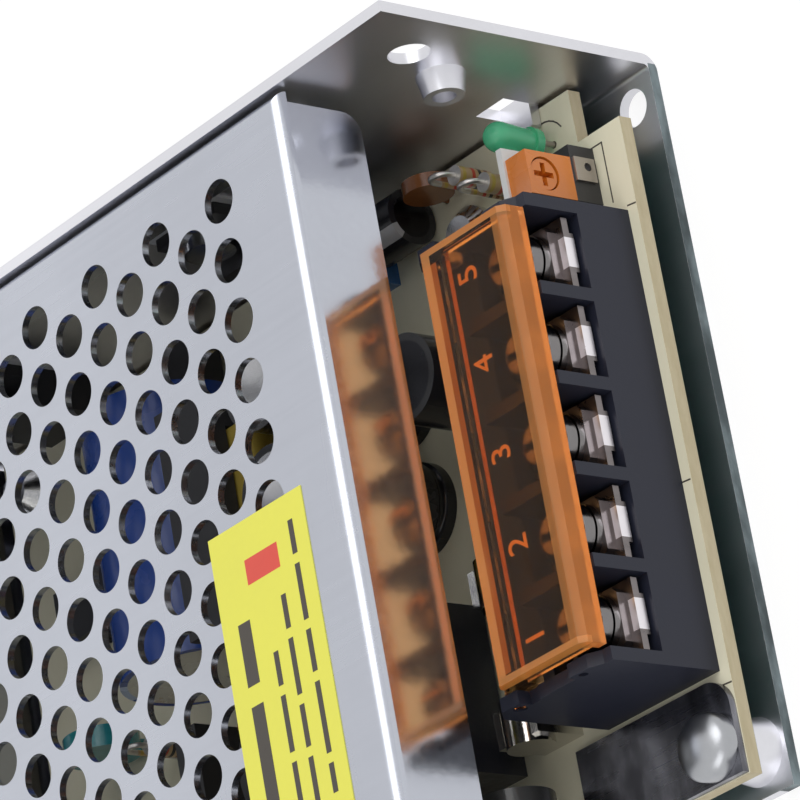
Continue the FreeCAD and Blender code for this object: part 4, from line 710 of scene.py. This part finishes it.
for way in WAYS:
    flat = digit_mesh(str(way))
    screw_low, screw_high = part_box("terminal_screw_%d" % way)
    middle = (screw_low + screw_high) / 2
    spot = Vector((DIGIT_X, middle.y + DIGIT_SHIFT, flap_high.z - PANEL_THICKNESS - DIGIT_RISE))
    flat.transform(Matrix.Translation(spot) @ QUARTER_TURN)
    shape = bmesh.new()
    shape.from_mesh(flat)
    bpy.data.meshes.remove(flat)
    bmesh.ops.remove_doubles(shape, verts=shape.verts, dist=MERGE)
    add_piece("flap_digit_%d" % way, shape, digit_plastic, body="flap")
print("five digits ride on the flap")

# %% [markdown]
# The label keeps its yellow field and its colours. A plain red block and rows of plain dark bars
# stand where it was printed. Each bar is a prism a fiftieth of a millimetre thick, and a loop lays
# the bars of a row end to end with gaps, longer ones in the row that is wider.

# %% Blocks and bars on the label
label_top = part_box("label")[1].z
INK_RISE = 0.02 * MM
RED_BLOCK = ((28.2, 45.4), (33.4, 48.0))
# Each row: its middle, its width and where it starts, in millimetres from the case's corner.
BAR_ROWS = [(35.0, 1.9, 51.3), (31.0, 0.75, 55.8), (28.5, 0.75, 50.8), (25.7, 0.75, 44.1)]
BAR_LENGTHS = (2.6, 4.3, 3.2, 5.4, 2.2)
BAR_GAP = 0.9
ROW_END = 73.6


def flat_block(shape, low, high):
    """A thin block on the label between two corners in millimetres from the case's corner."""
    left, right = (case_low.x + corner[0] * MM for corner in (low, high))
    near, far = (case_low.y + corner[1] * MM for corner in (low, high))
    corners = [(left, near), (right, near), (right, far), (left, far)]
    prism(shape, corners, label_top, label_top + INK_RISE)


shape = bmesh.new()
flat_block(shape, *RED_BLOCK)
add_piece("label_red_block", shape, red_ink)
shape = bmesh.new()
for x, width, start in BAR_ROWS:
    index = 0
    while start + BAR_GAP < ROW_END:
        end = min(start + BAR_LENGTHS[index % len(BAR_LENGTHS)] * (width + 0.6), ROW_END)
        flat_block(shape, (x - width / 2, start), (x + width / 2, end))
        start = end + BAR_GAP * (width + 0.4)
        index += 1
add_piece("label_dark_bars", shape, dark_ink)
print("label bars in", len(BAR_ROWS), "rows")

# %% [markdown]
# The board carries thin dark lines round the terminal block and the trimmer, and an arc round the
# light. Each line is a strip four hundredths of a millimetre thick, half of it in the lacquer.
# Places are counted from the case's corner, as in the model.

# %% Lines on the board
CORNER = Vector((case_low.x, case_low.y, 0.0))
LINE_WIDTH = 0.16 * MM
MARK_RISE = 0.02 * MM
LINES = [
    [(0.6, 67.75), (14.8, 66.75)],
    [(6.8, 67.4), (6.7, 66.75)],
    [(0.6, 17.0), (1.7, 16.85)],
    [(0.7, 46.7), (1.7, 46.6)],
    [(3.6, 15.6), (3.6, 9.0), (9.9, 9.0)],
    [(12.6, 9.6), (17.0, 9.6), (17.0, 14.6)],
]
ARC_X, ARC_Y, ARC_RADIUS = 11.4, 6.3, 3.0
ARC_START, ARC_SWEEP, ARC_STEPS = -150, 210, 16
silk = moulding("silk_ink", (0.055, 0.045, 0.035), 0.55)


def on_board(x, y):
    """A place on the board's top, from millimetres counted from the case's corner."""
    return CORNER + Vector((x * MM, y * MM, BOARD_TOP))


def line_strip(shape, points):
    """A flat line through some points, drawn as one thin bar for each stretch."""
    for start, end in zip(points, points[1:]):
        along = (end - start).normalized() * LINE_WIDTH / 2
        across = Vector((-along.y, along.x, 0.0))
        corners = [start - along - across, end + along - across,
                   end + along + across, start - along + across]
        prism(shape, [(corner.x, corner.y) for corner in corners], start.z - MARK_RISE,
              start.z + MARK_RISE)


arc = []
for step in range(ARC_STEPS + 1):
    angle = math.radians(ARC_START + ARC_SWEEP * step / ARC_STEPS)
    arc.append((ARC_X + ARC_RADIUS * math.cos(angle), ARC_Y + ARC_RADIUS * math.sin(angle)))
shape = bmesh.new()
for line in LINES + [arc]:
    line_strip(shape, [on_board(x, y) for x, y in line])
add_piece("board_lines", shape, silk)
print("board lines:", len(LINES) + 1)

# %% [markdown]
# A few holes near the trimmer are filled with solder. A flat disc just above the lacquer is
# enough, because the camera never sees its edge.

# %% Solder spots
PADS = [(18.3, 3.9), (16.8, 6.1), (22.3, 4.2), (20.2, 11.6), (3.2, 20.0)]
PAD_RADIUS = 0.55 * MM
solder = small_metal("solder", (0.50, 0.49, 0.46), 0.35)

shape = bmesh.new()
for x, y in PADS:
    spot = on_board(x, y) + Vector((0, 0, MARK_RISE))
    bmesh.ops.create_circle(shape, cap_ends=True, segments=20, radius=PAD_RADIUS,
                            matrix=Matrix.Translation(spot))
add_piece("board_pads", shape, solder)
print("solder spots:", len(PADS))

# %% [markdown]
# The screw in the foot has a domed head. A short upright rim with a squashed half ball on it is
# spun round the screw's axis, just outside the plain head of the model.

# %% Dome of the foot screw
head_low, head_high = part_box("foot_screw")
HEAD_RADIUS = (head_high - head_low).x / 2 + 0.10 * MM
HEAD_FOOT = BOARD_TOP + 0.82 * MM
RIM_HEIGHT = 1.1 * MM
DOME_HEIGHT = 1.75 * MM
DOME_ARC_STEPS = 14
DOME_SIDES = 40
dome_metal = small_metal("dome_metal", (0.42, 0.43, 0.45), 0.32)

shape = bmesh.new()
outline = [Vector((HEAD_RADIUS, 0, 0))]
for step in range(DOME_ARC_STEPS + 1):
    angle = math.radians(90 * step / DOME_ARC_STEPS)
    outline.append(Vector((HEAD_RADIUS * math.cos(angle), 0,
                           RIM_HEIGHT + DOME_HEIGHT * math.sin(angle))))
profile = [shape.verts.new(point) for point in outline]
edges = [shape.edges.new(pair) for pair in zip(profile, profile[1:])]
bmesh.ops.spin(shape, geom=profile + edges, axis=(0, 0, 1), cent=(0, 0, 0),
               angle=math.radians(360), steps=DOME_SIDES, use_merge=True)
bmesh.ops.remove_doubles(shape, verts=shape.verts, dist=MERGE)
centre = (head_low + head_high) / 2
bmesh.ops.translate(shape, vec=(centre.x, centre.y, HEAD_FOOT), verts=shape.verts)
add_piece("foot_screw_dome", shape, dome_metal, smooth=True)
print("dome radius", round(HEAD_RADIUS / MM, 2), "mm")

# %% [markdown]
# The line choke's windings are single turns of enamelled wire round a ring that stands on its
# edge. Each turn is a round wire that follows a rounded rectangle. The path below is drawn in a
# plane through the ring's axis, as how far along the axis and how far out from it.

# %% Path of one turn
core_low, core_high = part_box("choke_core")
RING_CENTRE = (core_low + core_high) / 2
RING_OUTER = (core_high - core_low).y / 2
RING_HOLE = 4.6 * MM
WIRE = 0.5 * MM
BEND = 0.7 * MM
BEND_STEPS = 4
HALF_WIDTH = (core_high - core_low).x / 2 + WIRE


def turn_path():
    """The closed path of one turn: pairs of a place along the axis and a reach from it."""
    inner, outer = RING_HOLE - WIRE, RING_OUTER + WIRE
    path = []
    for side, reach, start in ((1, outer, 0), (-1, outer, 90), (-1, inner, 180), (1, inner, 270)):
        inset = -BEND if reach == outer else BEND
        for step in range(BEND_STEPS):
            angle = math.radians(start + 90 * step / (BEND_STEPS - 1))
            path.append((side * (HALF_WIDTH - BEND) + BEND * math.cos(angle),
                         reach + inset + BEND * math.sin(angle)))
    return path


path = turn_path()
print("one turn has", len(path), "points")

# %% [markdown]
# A round wire is then swept along the path, once for each turn, and the turns fan out round the
# ring's own axis in two groups. They take the place of the model's two plain blocks.

# %% Turns of the line choke
TURNS_A_SIDE = 11
FAN = math.radians(104)
WIRE_SIDES = 8


def wire_loop(shape, path, tilt):
    """Sweep a round wire along a closed path that is turned about the ring's axis."""
    outward = Vector((0, math.cos(tilt), math.sin(tilt)))
    sideways = Vector((0, -math.sin(tilt), math.cos(tilt)))
    points = [RING_CENTRE + Vector((x, 0, 0)) + outward * reach for x, reach in path]
    rings = []
    for index, point in enumerate(points):
        ahead = points[(index + 1) % len(points)] - points[index - 1]
        normal = ahead.normalized().cross(sideways)
        ring = []
        for side in range(WIRE_SIDES):
            angle = 2 * math.pi * side / WIRE_SIDES
            offset = normal * math.cos(angle) + sideways * math.sin(angle)
            ring.append(shape.verts.new(point + offset * WIRE))
        rings.append(ring)
    for index, ring in enumerate(rings):
        after = rings[(index + 1) % len(rings)]
        for side in range(WIRE_SIDES):
            other = (side + 1) % WIRE_SIDES
            shape.faces.new((ring[side], ring[other], after[other], after[side]))


shape = bmesh.new()
for middle_tilt in (0.0, math.pi):
    for turn in range(TURNS_A_SIDE):
        share = turn / (TURNS_A_SIDE - 1) - 0.5
        wire_loop(shape, path, middle_tilt + FAN * share)
turns = add_piece("choke_turns", shape, enamel, smooth=True)
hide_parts("choke_windings")
print("choke turns:", 2 * TURNS_A_SIDE)

# %% [markdown]
# The floor is pale and plain. The camera and mirror-like surfaces see it as white, through Light
# Path, while scattered light meets an ordinary pale floor, so the object still casts a soft
# shadow. It lies a twentieth of a millimetre under the case.

# %% Floor
FLOOR_HALF = 1.5
FLOOR_DROP = 0.05 * MM
FLOOR_WHITE_SHARE = 0.72
FLOOR_GLOW = 1.14


def sees_white(tree):
    """A signal that is one for camera, glossy and transmission rays."""
    path = tree.nodes.new("ShaderNodeLightPath")
    seen = Signal(tree, path.outputs["Is Camera Ray"])
    for ray in ("Is Glossy Ray", "Is Transmission Ray"):
        seen = seen.math("MAXIMUM", Signal(tree, path.outputs[ray]))
    return seen


pale = bpy.data.materials.new("pale_floor")
pale.use_nodes = True
tree = pale.node_tree
matt = tree.nodes["Principled BSDF"]
matt.inputs["Base Color"].default_value = (0.90, 0.90, 0.90, 1.0)
matt.inputs["Roughness"].default_value = 0.9
matt.inputs["Specular IOR Level"].default_value = 0.0
glow = tree.nodes.new("ShaderNodeEmission")
glow.inputs["Strength"].default_value = FLOOR_GLOW
show_mixed(tree, sees_white(tree) * FLOOR_WHITE_SHARE, matt, glow)

shape = bmesh.new()
bmesh.ops.create_grid(shape, x_segments=1, y_segments=1, size=FLOOR_HALF)
bmesh.ops.translate(shape, vec=(0, 0, -FLOOR_DROP), verts=shape.verts)
floor_mesh = bpy.data.meshes.new("floor")
shape.to_mesh(floor_mesh)
shape.free()
floor_mesh.materials.append(pale)
floor = bpy.data.objects.new("floor", floor_mesh)
bpy.context.scene.collection.objects.link(floor)
print("floor made")

# %% [markdown]
# The world is treated the same way: white to look at, and about half as strong for scattered
# light, so that the lamps still shape the object.

# %% World
WORLD_LEVEL = 0.55
world = bpy.data.worlds.new("studio")
bpy.context.scene.world = world
world.use_nodes = True
tree = world.node_tree
background = tree.nodes["Background"]
strength = sees_white(tree) * (1.0 - WORLD_LEVEL) + WORLD_LEVEL
tree.links.new(strength.socket, background.inputs["Strength"])
background.inputs["Color"].default_value = (1.0, 1.0, 1.0, 1.0)
print("world made")

# %% [markdown]
# Two large soft lamps light the object: a main one from above on the wall's side of the case, and
# a weaker one from the other side. They are big and far, so their images in the bright sheet stay
# close to white and don't clip.

# %% Lamps
LAMP_SIZE = 0.8
MAIN_PLACE, MAIN_WATTS = (-0.6, -0.5, 0.9), 4.3
SIDE_PLACE, SIDE_WATTS = (-0.5, 0.9, 0.6), 2.8


def soft_lamp(name, place, power):
    """A square lamp that faces the object."""
    lamp = bpy.data.lights.new(name, "AREA")
    lamp.size = LAMP_SIZE
    lamp.energy = power
    holder = bpy.data.objects.new(name, lamp)
    holder.location = place
    holder.rotation_mode = "QUATERNION"
    holder.rotation_quaternion = (-Vector(place)).to_track_quat("-Z", "Y")
    bpy.context.scene.collection.objects.link(holder)


soft_lamp("main_lamp", MAIN_PLACE, MAIN_WATTS)
soft_lamp("side_lamp", SIDE_PLACE, SIDE_WATTS)
bpy.context.scene.view_settings.view_transform = "Standard"
print("lamps made")
